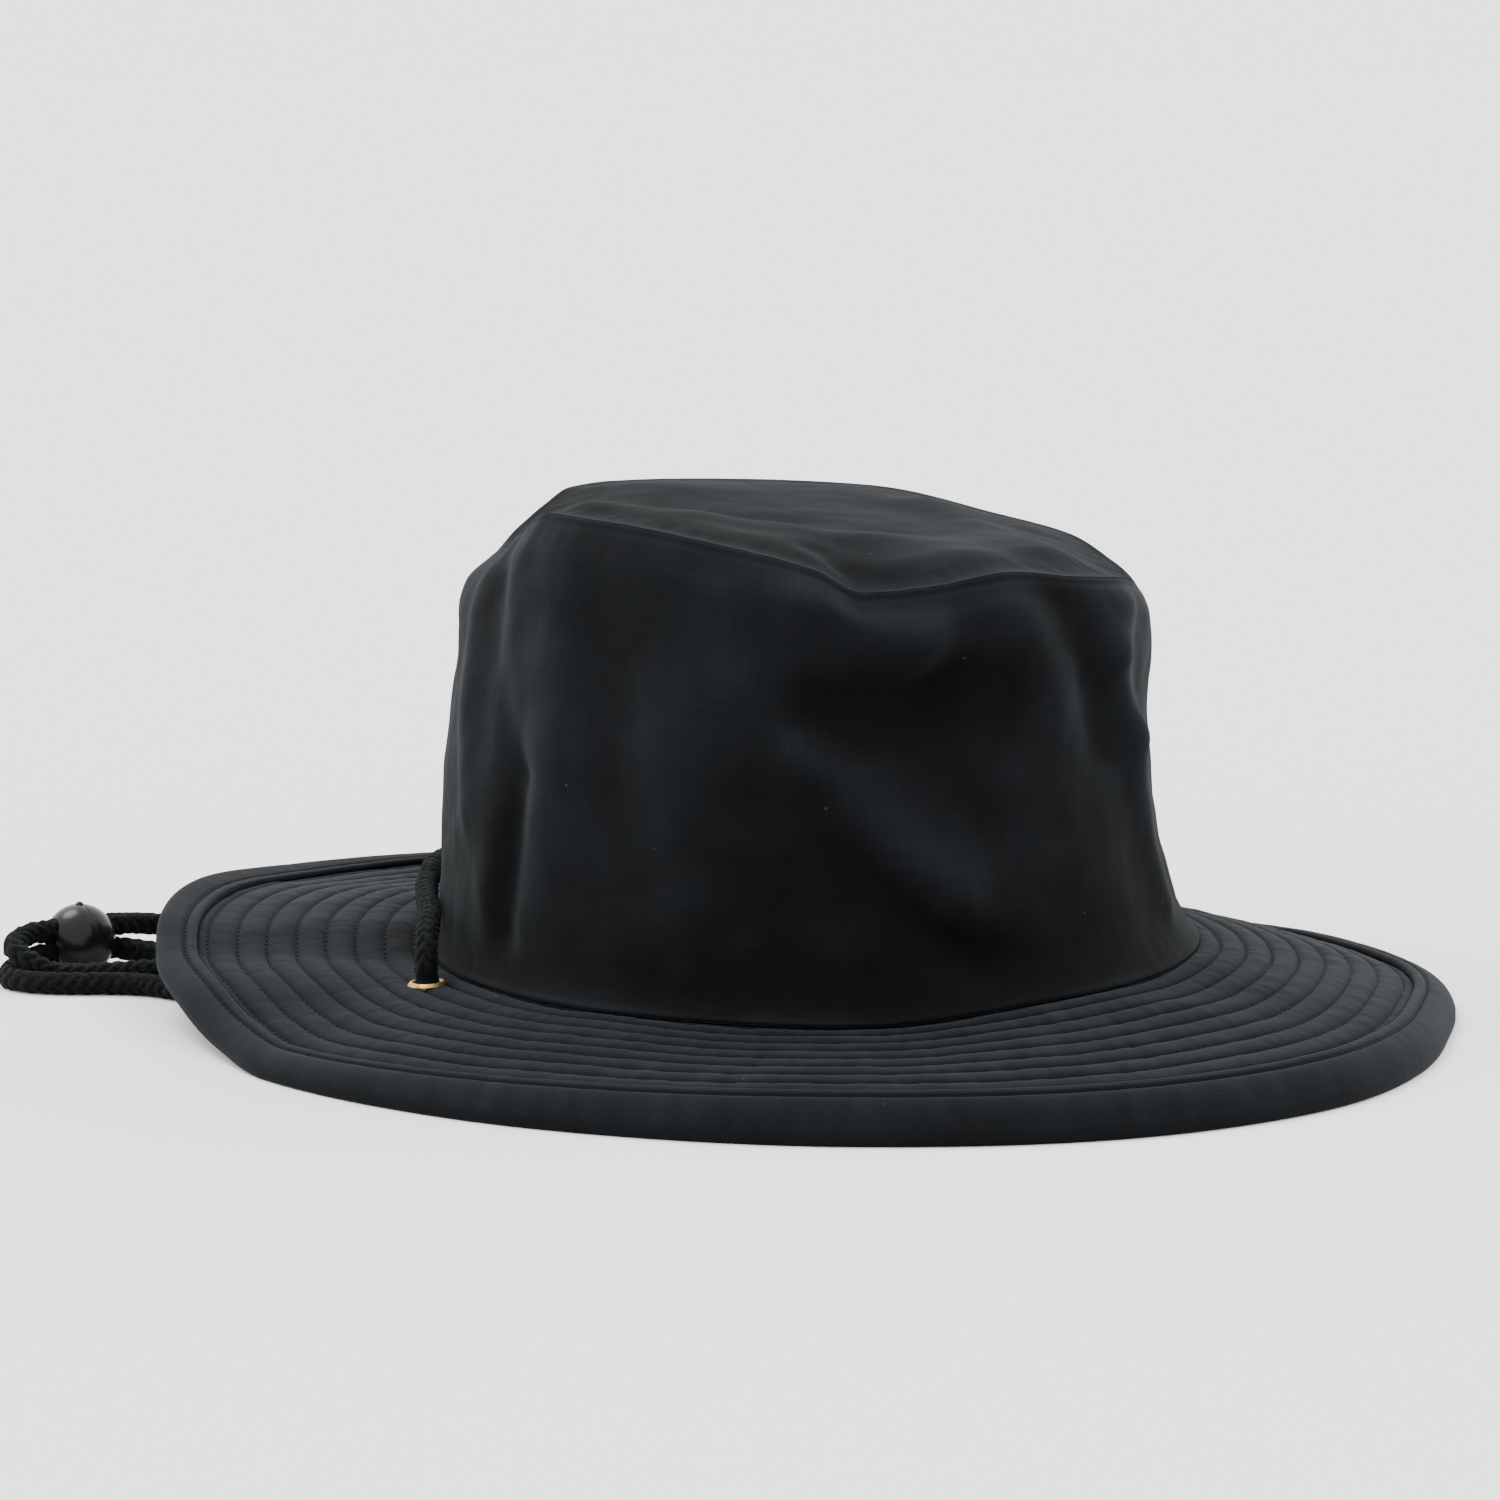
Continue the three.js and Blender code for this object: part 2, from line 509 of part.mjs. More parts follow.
// Folded tape round the brim's edge: a closed C with its slot round the cloth and a flat foot.
function bindingGeometry() {
  const at = (share, above) => ringOf((angle) => {
    const plan = brimPlan(angle, stitchedWidthAt(angle) + bindingWidth * share);
    return new THREE.Vector3(plan.x, plan.y, bindingMiddleZ(angle, Math.max(share, 0)) + above);
  });
  const foot = (inFromRim) => ringOf((angle) => {
    const plan = brimPlan(angle, brimWidthAt(angle) - inFromRim);
    return new THREE.Vector3(plan.x, plan.y, rimUndersideZ(angle));
  });
  const slotHalf = brimWall / 2 + clearance;
  const slotEnd = bindingGrip + clearance / bindingWidth;
  return solidFromRings([
    at(0, slotHalf),
    at(0.03, bindingHalf + bindingLip),
    at(0.14, bindingHalf + bindingLip * 0.8),
    at(0.3, bindingHalf),
    at(0.62, bindingHalf),
    at(0.88, bindingHalf * 0.85),
    at(1, bindingHalf * 0.1),
    foot(bindingWidth * 0.05),
    foot(bindingFloor),
    at(0.4, -bindingHalf),
    at(0.03, -bindingHalf),
    at(0, -slotHalf),
    at(slotEnd, -slotHalf),
    at(slotEnd, slotHalf),
  ], true);
}

// Eyelets stand square to the brim beside the crown, one at each ear.
const eyeletBarrelRadius = eyeletBore / 2 + eyeletWall;
const eyeletPlaces = [
  { name: 'eyelet_right', angle: eyeletAngle },
  { name: 'eyelet_left', angle: 180 - eyeletAngle },
];

function eyeletMatrix(place) {
  const centre = onBrim(place.angle, eyeletOffset, puffHeight / 2);
  const outer = onBrim(place.angle, eyeletOffset + eyeletFlange / 2, puffHeight / 2);
  const slope = outer.sub(centre).normalize();
  const up = new THREE.Vector3(0, 0, 1).addScaledVector(slope, -slope.z).normalize();
  const turn = new THREE.Quaternion().setFromUnitVectors(new THREE.Vector3(0, 1, 0), up);
  return new THREE.Matrix4().compose(centre, turn, new THREE.Vector3(1, 1, 1));
}

function eyeletGeometry() {
  const half = (brimWall + puffHeight) / 2 + clearance;
  const bore = eyeletBore / 2;
  const flange = eyeletFlange / 2;
  const top = half + eyeletFlangeThickness;
  const roll = eyeletFlangeThickness * 0.3;
  const upper = [[eyeletBarrelRadius, half], [flange, half], [flange - roll * 2, top - roll],
    [bore + roll * 2, top], [bore, top - roll]];
  const lower = upper.map(([r, z]) => [r, -z]).reverse();
  const profile = [...lower, ...upper, lower[0]];
  return new THREE.LatheGeometry(profile.map(([r, z]) => new THREE.Vector2(r, z)), 14);
}

// Round cord section swept through its chosen points, one step from each to the next.
class ChosenPath extends THREE.CatmullRomCurve3 {
  getPointAt(share, target) {
    return this.getPoint(share, target);
  }

  getTangentAt(share, target) {
    return this.getTangent(share, target);
  }
}

function cordGeometry(route) {
  const path = new ChosenPath(route.map(([x, y, z]) => new THREE.Vector3(x, y, z)), false, 'centripetal');
  const sides = 8;
  const section = new THREE.Shape();
  for (let i = 0; i < sides; i += 1) {
    const angle = (2 * Math.PI * i) / sides;
    const corner = [Math.cos(angle) * cordDiameter / 2, Math.sin(angle) * cordDiameter / 2];
    if (i === 0) section.moveTo(...corner);
    else section.lineTo(...corner);
  }
  section.closePath();
  const steps = route.length - 1;
  return new THREE.ExtrudeGeometry(section, { steps, extrudePath: path, bevelEnabled: false });
}

// Toggle: a ball on the surface with one tall slot through it for the two strands.
function toggleGeometry() {
  const radius = toggleDiameter / 2;
  const ball = new THREE.SphereGeometry(radius, 20, 12);
  ball.rotateX(Math.PI / 2);
  const slot = new THREE.Shape();
  const half = toggleSlotWidth / 2;
  const straight = (toggleSlotHeight - toggleSlotWidth) / 2;
  slot.absarc(0, straight, half, 0, Math.PI, false);
  slot.absarc(0, -straight, half, Math.PI, 2 * Math.PI, false);
  slot.closePath();
  const cutter = new THREE.ExtrudeGeometry(slot, {
    depth: toggleDiameter + 2, bevelEnabled: false, curveSegments: 8,
  });
  cutter.translate(0, 0, -radius - 1);
  cutter.rotateX(Math.PI / 2);
  cutter.rotateZ(radians(90));
  const nub = new THREE.CylinderGeometry(toggleNubRadius * 0.7, toggleNubRadius, toggleNubRise * 4, 10);
  nub.rotateX(Math.PI / 2);
  nub.translate(0, 0, radius - toggleNubRise);
  return toGeometry(toSolid(ball).add(toSolid(nub)).subtract(toSolid(cutter)));
}

const cottonCloth = (color, roughness) => new THREE.MeshStandardMaterial({ color, roughness, metalness: 0 });
const blackCotton = cottonCloth(0x26292c, 0.92);
const blackTape = cottonCloth(0x222528, 0.88);
const blackBraid = cottonCloth(0x151719, 0.95);
const wornBrass = new THREE.MeshStandardMaterial({ color: 0xa88a4a, roughness: 0.35, metalness: 1 });
const blackPlastic = new THREE.MeshStandardMaterial({ color: 0x2b2827, roughness: 0.2, metalness: 0 });

function namedMesh(name, geometry, material) {
  const mesh = new THREE.Mesh(geometry, material);
  mesh.name = name;
  return mesh;
}

const hat = new THREE.Group();
const cloth = new THREE.Group();
hat.add(cloth);
cloth.add(namedMesh('crown_side', crownSideGeometry(), blackCotton));
cloth.add(namedMesh('crown_tip', crownTipGeometry(), blackCotton));
cloth.add(namedMesh('brim', brimGeometry(), blackCotton));
cloth.add(namedMesh('brim_binding', bindingGeometry(), blackTape));

for (const place of eyeletPlaces) {
  const eyelet = namedMesh(place.name, eyeletGeometry(), wornBrass);
  eyelet.applyMatrix4(eyeletMatrix(place));
  hat.add(eyelet);
}

hat.add(namedMesh('cord_back', cordGeometry(cordBackRoute), blackBraid));
hat.add(namedMesh('cord_near', cordGeometry(cordNearRoute), blackBraid));
hat.add(namedMesh('cord_far', cordGeometry(cordFarRoute), blackBraid));
hat.add(namedMesh('cord_bight', cordGeometry(cordBightRoute), blackBraid));

const toggle = namedMesh('toggle', toggleGeometry(), blackPlastic);
toggle.position.set(toggleX, toggleY, toggleDiameter / 2 + floorClearance);
toggle.rotation.z = radians(toggleHeading);
hat.add(toggle);

// The origin lies under the middle of the rim.
const middle = new THREE.Box3().setFromObject(cloth).getCenter(new THREE.Vector3());
hat.position.set(-middle.x, -middle.y, 0);

export default hat;
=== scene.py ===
import math

import bpy
import numpy as np
from mathutils import Matrix, Vector, noise


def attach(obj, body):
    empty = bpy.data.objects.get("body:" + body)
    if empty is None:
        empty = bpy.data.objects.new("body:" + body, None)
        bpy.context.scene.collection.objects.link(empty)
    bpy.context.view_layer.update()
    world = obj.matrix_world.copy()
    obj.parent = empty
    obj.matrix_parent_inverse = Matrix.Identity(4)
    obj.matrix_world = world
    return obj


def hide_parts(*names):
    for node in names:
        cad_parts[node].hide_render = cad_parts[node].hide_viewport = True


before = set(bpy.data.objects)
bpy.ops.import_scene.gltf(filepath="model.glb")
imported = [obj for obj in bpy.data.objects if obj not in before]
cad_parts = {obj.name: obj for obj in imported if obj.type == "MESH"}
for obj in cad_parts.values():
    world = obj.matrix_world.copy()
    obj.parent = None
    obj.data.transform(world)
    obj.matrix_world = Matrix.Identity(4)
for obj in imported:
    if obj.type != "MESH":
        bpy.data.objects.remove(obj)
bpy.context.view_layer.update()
print("frame loaded with", len(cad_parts), "nodes")

# Sizes are millimetres until a mesh is made. Front is -Y. Angles are degrees round the hat: 0 at its left
# side +X, 90 at the back, 270 at the front.
metres = 0.001
cutterLength = 30 * metres

photoCamera = {
    "place": (-0.5516, -1.0986, 0.2287),
    "tilt": 82.2,
    "turn": -26,
    "lens": 128.93,
    "sensor": 36,
    "reach": 20,
}

crown = {
    "headHalfWidth": 85,
    "headHalfLength": 100,
    "headShift": (2.5, -1.5),
    "seamHeight": 19,
    "tipHalfWidth": 70,
    "tipHalfLength": 83,
    "height": 120,
    "wall": 1.6,
    "tipMiddleShare": 0.955,
    "tipSlope": (-0.05, 0.05),
    "foldDepth": 5,
    "foldWidth": 10,
    "foldsStart": 0.12,
    "foldsEnd": 0.93,
    "tipFoldDepth": 2.5,
    "tipFoldWidth": 10,
    "tipFoldsEnd": 0.85,
}

brim = {
    "halfWidth": 147,
    "halfLength": 162,
    "lift": 18.8,
    "wall": 2.4,
    "bow": 0.35,
    "rows": 8,
    "firstRow": 5.2,
    "lastRow": 2.6,
    "puff": 0.62,
    "valley": 0.4,
    "pucker": 0.2,
    "puckerLength": 2.7,
}

binding = {"width": 9.2, "wall": 0.9, "droop": 5, "clearance": 0.3}

# Rim: reach as a share of the rim's oval, lift as a share of the brim's lift, droop as a share of the
# binding's, which turns up below zero. The back half comes first, and the front half below it.
rimTable = {
    "angle": [0, 15, 32, 52, 75, 98, 118, 139, 151, 161, 171,
              180, 190, 205, 225, 247, 270, 290, 305, 319, 342],
    "reach": [1.01, 0.97, 0.955, 0.965, 0.98, 0.99, 1, 1, 1, 1, 0.99,
              0.985, 0.995, 0.99, 0.983, 0.992, 1.012, 1.017, 1.002, 0.99, 1.015],
    "lift": [0, 0, 0, 0.09, 0.37, 0.62, 0.79, 1, 0.91, 0.6, 0.38,
             0.12, 0, 0, 0, 0, 0, 0, 0, 0, 0],
    "droop": [0.25, 0.1, 0.1, 0.1, 0.1, -0.2, -0.55, -0.75, -0.6, -0.25, 0.05,
              0.15, 0.25, 0.5, 0.8, 1, 1, 1, 0.9, 0.8, 0.5],
}

# Seam between crown and brim: height as a share of the seam height.
seamTable = {
    "angle": [0, 40, 90, 104, 118, 132, 147, 162, 190, 225, 247, 274, 297, 325],
    "height": [0.96, 0.82, 0.66, 0.74, 0.86, 0.94, 0.9, 0.62, 0.63, 0.67, 0.69, 0.88, 0.94, 1],
}

# Seam between crown wall and tip: reach as a share of the tip's oval, height as a share of the crown's. The
# back half comes first, and the front half below it.
tipTable = {
    "angle": [0, 20, 45, 75, 100, 111, 120, 131, 145, 162, 176,
              189, 205, 228, 242, 250, 262, 277, 292, 309, 328, 345],
    "reach": [1.03, 1.01, 1, 1, 0.99, 0.98, 0.97, 0.965, 0.96, 0.95, 0.96,
              1, 1.01, 1, 1, 0.99, 1.01, 1.02, 1.03, 1.045, 1.05, 1.04],
    "height": [0.892, 0.918, 0.958, 0.968, 0.972, 0.967, 0.94, 0.909, 0.888, 0.9, 0.952,
               0.991, 0.986, 0.952, 0.916, 0.876, 0.886, 0.906, 0.888, 0.87, 0.838, 0.858],
}

# Crown wall by rise, 0 at the brim seam and 1 at the tip seam: reach from the tip's oval, 0, to the head's
# oval, 1; shift as a share of the head's offset; grip of the tip's own reach.
wallTable = {
    "rise": [0, 0.05, 0.12, 0.38, 0.65, 0.82, 0.91, 0.97, 1],
    "reach": [1, 0.88, 0.79, 0.6, 0.44, 0.38, 0.28, 0.1, 0],
    "shift": [1, 0.8, 0.3, -0.35, -0.4, 0, 0, 0, 0],
    "grip": [0, 0, 0, 0, 0.1, 0.3, 0.55, 0.9, 1],
}

# Folds of the crown wall along a line from one angle and rise to another: width and depth as shares of the
# crown's fold width and depth, inward below zero.
wallFolds = [
    {"from": (243, 0.7), "to": (261, 0.75), "width": 0.9, "depth": -1.35},
    {"from": (262, 0.75), "to": (274, 0.72), "width": 1, "depth": -0.5},
    {"from": (240, 0.97), "to": (260, 0.88), "width": 0.7, "depth": 0.9},
    {"from": (241, 0.61), "to": (263, 0.27), "width": 0.75, "depth": 0.9},
    {"from": (245, 0.5), "to": (265.5, 0.1), "width": 0.75, "depth": -0.8},
    {"from": (266, 0.49), "to": (271, 0.41), "width": 0.8, "depth": -0.45},
    {"from": (272, 0.95), "to": (284, 0.7), "width": 0.9, "depth": 0.45},
    {"from": (287, 0.95), "to": (297, 0.6), "width": 0.9, "depth": -0.5},
    {"from": (306, 0.96), "to": (299, 0.82), "width": 0.7, "depth": 0.5},
    {"from": (299, 0.82), "to": (307, 0.6), "width": 0.7, "depth": 0.5},
    {"from": (307, 0.6), "to": (313, 0.15), "width": 0.7, "depth": 0.45},
    {"from": (178, 0.85), "to": (189, 0.5), "width": 0.6, "depth": -0.25},
    {"from": (191, 0.45), "to": (187, 0.13), "width": 0.5, "depth": -0.45},
    {"from": (186, 0.9), "to": (182, 0.2), "width": 0.7, "depth": 0.25},
    {"from": (168, 0.9), "to": (175, 0.4), "width": 0.8, "depth": 0.45},
    {"from": (158, 0.86), "to": (150, 0.9), "width": 1.1, "depth": 0.45},
    {"from": (196, 0.9), "to": (199, 0.35), "width": 0.9, "depth": 0.35},
    {"from": (205, 0.75), "to": (214, 0.3), "width": 1.1, "depth": -0.35},
    {"from": (222, 0.8), "to": (218, 0.25), "width": 1.2, "depth": 0.3},
    {"from": (84, 0.6), "to": (104, 0.42), "width": 1.3, "depth": -0.6},
    {"from": (62, 0.85), "to": (74, 0.3), "width": 0.9, "depth": 0.4},
    {"from": (22, 0.75), "to": (36, 0.5), "width": 1.2, "depth": -0.6},
    {"from": (4, 0.9), "to": (10, 0.35), "width": 0.9, "depth": 0.4},
]

# Folds of the tip in plan, places as shares of its half width and half length.
tipFolds = [
    {"from": (-0.88, 0.05), "to": (-0.62, -0.35), "width": 0.9, "depth": 0.7},
    {"from": (-0.5, -0.3), "to": (-0.1, -0.55), "width": 1, "depth": 0.6},
    {"from": (-0.45, 0.1), "to": (0.15, -0.3), "width": 1.2, "depth": -0.7},
    {"from": (-0.36, -0.7), "to": (-0.28, -0.93), "width": 0.5, "depth": -0.6},
    {"from": (0.45, -0.72), "to": (0.62, 0.2), "width": 0.9, "depth": 0.7},
    {"from": (-0.1, 0.5), "to": (0.4, 0.45), "width": 2, "depth": 0.8},
]


# Value of a table's column at a place between rows, without overshoot.
def columnAt(table, column, place, by="angle", period=360):
    x = np.array(table[by], float)
    y = np.array(table[column], float)
    place = np.asarray(place, float)
    if period:
        x = np.concatenate([x[-2:] - period, x, x[:3] + period])
        y = np.concatenate([y[-2:], y, y[:3]])
        place = np.mod(place, period)
    step = np.diff(y) / np.diff(x)
    slope = np.zeros_like(y)
    both = step[:-1] + step[1:]
    same = step[:-1] * step[1:] > 0
    slope[1:-1][same] = 2 * step[:-1][same] * step[1:][same] / both[same]
    i = np.clip(np.searchsorted(x, place, side="right") - 1, 0, len(x) - 2)
    span = x[i + 1] - x[i]
    t = (place - x[i]) / span
    rest = 1 - t
    return (y[i] * (1 + 2 * t) * rest * rest + y[i + 1] * t * t * (3 - 2 * t)
            + span * (slope[i] * t * rest * rest - slope[i + 1] * t * t * rest))


def mix(a, b, share):
    return a + (b - a) * share


def smoothStep(value, low, high):
    t = np.clip((value - low) / (high - low), 0, 1)
    return t * t * (3 - 2 * t)


def bump(value, centre, width):
    return np.exp(-(((value - centre) / width) ** 2))


def ovalPoint(angle, halfWidth, halfLength, shiftX=0.0, shiftY=0.0):
    a = np.radians(angle)
    return np.stack(np.broadcast_arrays(shiftX + halfWidth * np.cos(a), shiftY + halfLength * np.sin(a)), -1)


def unit(vectors):
    return vectors / np.linalg.norm(vectors, axis=-1, keepdims=True)


# How much a fold along a line raises a point: 1 on the line, fading with distance.
def foldShare(points, start, end, width):
    along = np.subtract(end, start)
    t = np.clip((points - start) @ along / (along @ along), 0, 1)
    away = points - (np.array(start) + t[..., None] * along)
    return np.exp(-((away ** 2).sum(-1)) / width ** 2)


# Smooth cloth unevenness of about one size in millimetres, from -1 to 1.
def clothNoise(points, size, seed):
    offset = Vector((seed * 17.3, seed * 5.1, seed * 9.7))
    values = [noise.noise(Vector(p) / size + offset) for p in points.reshape(-1, 3)]
    return np.array(values).reshape(points.shape[:-1])


# Waves of several sizes together, each given as its size, its height and a seed.
def clothWaves(points, waves):
    return sum(height * clothNoise(points, size, seed) for size, height, seed in waves)


# Noise round an oval, its waves about as long as given, for what follows a seam. Another level gives another
# ring of it.
def ringNoise(angle, halfWidths, waveLength, seed, level=0.0):
    oval = ovalPoint(angle, *halfWidths) / waveLength
    return clothNoise(np.concatenate([oval, np.full(oval.shape[:-1] + (1,), level)], -1), 1, seed)


def seamZ(angle):
    return crown["seamHeight"] * columnAt(seamTable, "height", angle)


def tipSeamZ(angle):
    return crown["height"] * columnAt(tipTable, "height", angle)


def seamPoint(angle):
    return ovalPoint(angle, crown["headHalfWidth"], crown["headHalfLength"], *crown["headShift"])


def rimPoint(angle):
    reach = columnAt(rimTable, "reach", angle)
    return ovalPoint(angle, brim["halfWidth"] * reach, brim["halfLength"] * reach)


# The origin lies under the middle of the rim, so every point moves by this much in plan.
rimCorners = rimPoint(np.arange(0, 360, 6))
planShift = -(rimCorners.min(0) + rimCorners.max(0)) / 2


def wallFoldDepth(angle, rise):
    meanRadius = (crown["headHalfWidth"] + crown["headHalfLength"]) / 2
    wallHeight = crown["height"] - crown["seamHeight"]
    depth = 0
    for fold in wallFolds:
        middle = (fold["from"][0] + fold["to"][0]) / 2
        near = middle + np.mod(angle - middle + 180, 360) - 180
        place = np.stack(np.broadcast_arrays(np.radians(near) * meanRadius, rise * wallHeight), -1)
        ends = [(math.radians(a) * meanRadius, r * wallHeight) for a, r in (fold["from"], fold["to"])]
        depth = depth + fold["depth"] * foldShare(place, *ends, fold["width"] * crown["foldWidth"])
    fade = smoothStep(rise, 0, crown["foldsStart"]) * (1 - smoothStep(rise, crown["foldsEnd"], 1))
    return depth * crown["foldDepth"] * fade


def wallPoint(angle, rise, outward=0.0):
    reach = columnAt(wallTable, "reach", rise, "rise", None)
    shift = columnAt(wallTable, "shift", rise, "rise", None)
    grip = columnAt(wallTable, "grip", rise, "rise", None)
    ownReach = mix(1, columnAt(tipTable, "reach", angle), grip)
    centre = np.stack([crown["headShift"][0] * shift, crown["headShift"][1] * shift], -1)
    outline = ovalPoint(angle, mix(crown["tipHalfWidth"], crown["headHalfWidth"], reach) * ownReach,
                        mix(crown["tipHalfLength"], crown["headHalfLength"], reach) * ownReach)
    outline = outline + unit(outline) * (wallFoldDepth(angle, rise) + outward)[..., None] + centre
    height = mix(seamZ(angle), tipSeamZ(angle), rise)
    return np.concatenate([outline, np.broadcast_to(height, outline.shape[:-1])[..., None]], -1)


def tipPlaneZ(plan):
    slope = crown["tipSlope"]
    return crown["height"] * crown["tipMiddleShare"] + slope[0] * plan[..., 0] + slope[1] * plan[..., 1]


def tipSurface(angle, share, inset):
    edge = wallPoint(angle, np.ones_like(share), -inset)
    plan = edge[..., :2] * share[..., None]
    height = 0
    for fold in tipFolds:
        size = np.array([crown["tipHalfWidth"], crown["tipHalfLength"]])
        ends = [np.array(fold[key]) * size for key in ("from", "to")]
        height = height + fold["depth"] * foldShare(plan, *ends, fold["width"] * crown["tipFoldWidth"])
    fade = 1 - smoothStep(share, crown["tipFoldsEnd"], 1)
    offPlane = edge[..., 2] - tipPlaneZ(edge)
    z = tipPlaneZ(plan) + offPlane * share ** 3 + height * crown["tipFoldDepth"] * fade
    return np.concatenate([plan, z[..., None]], -1)


bindingHalf = brim["wall"] / 2 + binding["clearance"] + binding["wall"]


def rimUndersideZ(angle):
    return brim["lift"] * columnAt(rimTable, "lift", angle)


def brimWidthAt(angle):
    return np.linalg.norm(rimPoint(angle) - seamPoint(angle), axis=-1)


def stitchedWidthAt(angle):
    return brimWidthAt(angle) - binding["width"]


def bindingMiddleZ(angle, share):
    droop = binding["droop"] * columnAt(rimTable, "droop", angle)
    return rimUndersideZ(angle) + bindingHalf + droop * (1 - share * share)


def brimMiddle(angle, distance):
    inner = seamPoint(angle)
    plan = inner + unit(rimPoint(angle) - inner) * distance[..., None]
    stitched = stitchedWidthAt(angle)
    share = np.maximum(distance, 0) / stitched
    edge = bindingMiddleZ(angle, 0)
    foot = seamZ(angle) - binding["clearance"] - brim["wall"] / 2
    within = mix(foot, edge, mix(share, share * share, brim["bow"]))
    beyond = bindingMiddleZ(angle, (distance - stitched) / binding["width"])
    return np.concatenate([plan, np.where(share > 1, beyond, within)[..., None]], -1)


def rowDistance(angle, row):
    return mix(brim["firstRow"], stitchedWidthAt(angle) - brim["lastRow"], row / (brim["rows"] - 1))


def upward(points, height):
    moved = points.copy()
    moved[..., 2] += height
    return moved


def toMetres(points):
    moved = np.array(points, float)
    moved[..., :2] += planShift
    return moved * metres


def deselectAll():
    if bpy.context.object and bpy.context.object.mode != "OBJECT":
        bpy.ops.object.mode_set(mode="OBJECT")
    bpy.ops.object.select_all(action="DESELECT")


# A grid primitive wrapped round into cloth: its vertices take the rows and columns of a table of points, and
# its points also carry how pale the cloth is, from rubbed wear and painted light and shade.
def wrapGrid(name, points, uv, wearAndShade):
    rows, columns = points.shape[:2]
    deselectAll()
    bpy.ops.mesh.primitive_grid_add(x_subdivisions=columns - 1, y_subdivisions=rows - 1, size=1)
    piece = bpy.context.object
    piece.name = name
    mesh = piece.data
    flat = np.empty(len(mesh.vertices) * 3)
    mesh.vertices.foreach_get("co", flat)
    place = flat.reshape(-1, 3) + 0.5
    column = np.rint(place[:, 0] * (columns - 1)).astype(int)
    row = np.rint(place[:, 1] * (rows - 1)).astype(int)
    mesh.vertices.foreach_set("co", toMetres(points)[row, column].ravel())
    corner = np.empty(len(mesh.loops), int)
    mesh.loops.foreach_get("vertex_index", corner)
    mesh.uv_layers[0].data.foreach_set("uv", (uv * metres)[row[corner], column[corner]].ravel())
    wornAndShaded = mesh.attributes.new("wearAndShade", "FLOAT", "POINT")
    wornAndShaded.data.foreach_set("value", np.broadcast_to(wearAndShade, points.shape[:2])[row, column].ravel())
    bpy.ops.object.mode_set(mode="EDIT")
    bpy.ops.mesh.select_all(action="SELECT")
    bpy.ops.mesh.remove_doubles(threshold=0.002 * metres)
    bpy.ops.mesh.normals_make_consistent(inside=False)
    bpy.ops.object.mode_set(mode="OBJECT")
    bpy.ops.object.shade_smooth()
    return piece


# Length along a piece's section at each row of its points, from its first row.
def sectionLength(points):
    steps = np.linalg.norm(np.diff(points, axis=0), axis=-1).mean(-1)
    return np.concatenate([[0], np.cumsum(steps)])


# Puts a piece's place and turn into its mesh, and leaves its object at the origin.
def settle(piece, matrix):
    piece.data.transform(matrix)
    piece.location = (0, 0, 0)
    piece.rotation_euler = (0, 0, 0)
    piece.scale = (1, 1, 1)
    piece.data.update()


def applyModifiers(piece):
    bpy.context.view_layer.objects.active = piece
    for modifier in list(piece.modifiers):
        bpy.ops.object.modifier_apply(modifier=modifier.name)


# The whole hat is one body. The sewing thread replaces no node.
def finish(piece, slot, material, *nodes):
    piece.data.materials.clear()
    piece.data.materials.append(material)
    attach(piece, "root")
    if nodes:
        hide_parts(*nodes)


# Colours are sRGB hex values.
def linear(hexColour):
    channels = [int(hexColour[i:i + 2], 16) / 255 for i in (0, 2, 4)]
    return tuple(c / 12.92 if c <= 0.04045 else ((c + 0.055) / 1.055) ** 2.4 for c in channels) + (1.0,)


# Adds one node: settings are its own properties, inputs are values or other nodes' outputs, by socket name or
# number. A colour mix has its two colours at inputs 6 and 7 and its result at output 2.
def addNode(material, kind, inputs, **settings):
    tree = material.node_tree
    node = tree.nodes.new(kind)
    for name, value in settings.items():
        setattr(node, name, value)
    for name, value in inputs.items():
        if isinstance(value, bpy.types.NodeSocket):
            tree.links.new(value, node.inputs[name])
        else:
            node.inputs[name].default_value = value
    return node


def newMaterial(name):
    material = bpy.data.materials.new(name)
    material.use_nodes = True
    shader = material.node_tree.nodes["Principled BSDF"]
    return material, shader


# Dyed cotton in a plain weave, matt, with a soft fuzz that lightens it at a glancing angle. The real threads
# are 0.45 mm apart, too fine to show, so they are drawn at threadSpacing, in millimetres.
cotton = {
    "threadSpacing": 0.6,
    "weaveDepth": 0.32,
    "weaveRelief": 0.35,
    "slubsPerMetre": (45, 900),  # along a thread and across it
    "threadShade": (0.84, 1.16),
    "cloudsPerMetre": 28,
    "cloudRelief": 1.2,
    "cloudBump": 0.25,
    "fade": (1.5, -0.1),  # how fast the colour pales with rubbed wear and painted light, and from where
    "lint": "24282b",
    "lintPerMetre": 90,
    "lintSize": 0.028,
    "ior": 1.5,
    "specular": 0.05,
    "sheenRoughness": 0.42,
    "sheenTint": "c8d2d8",
}


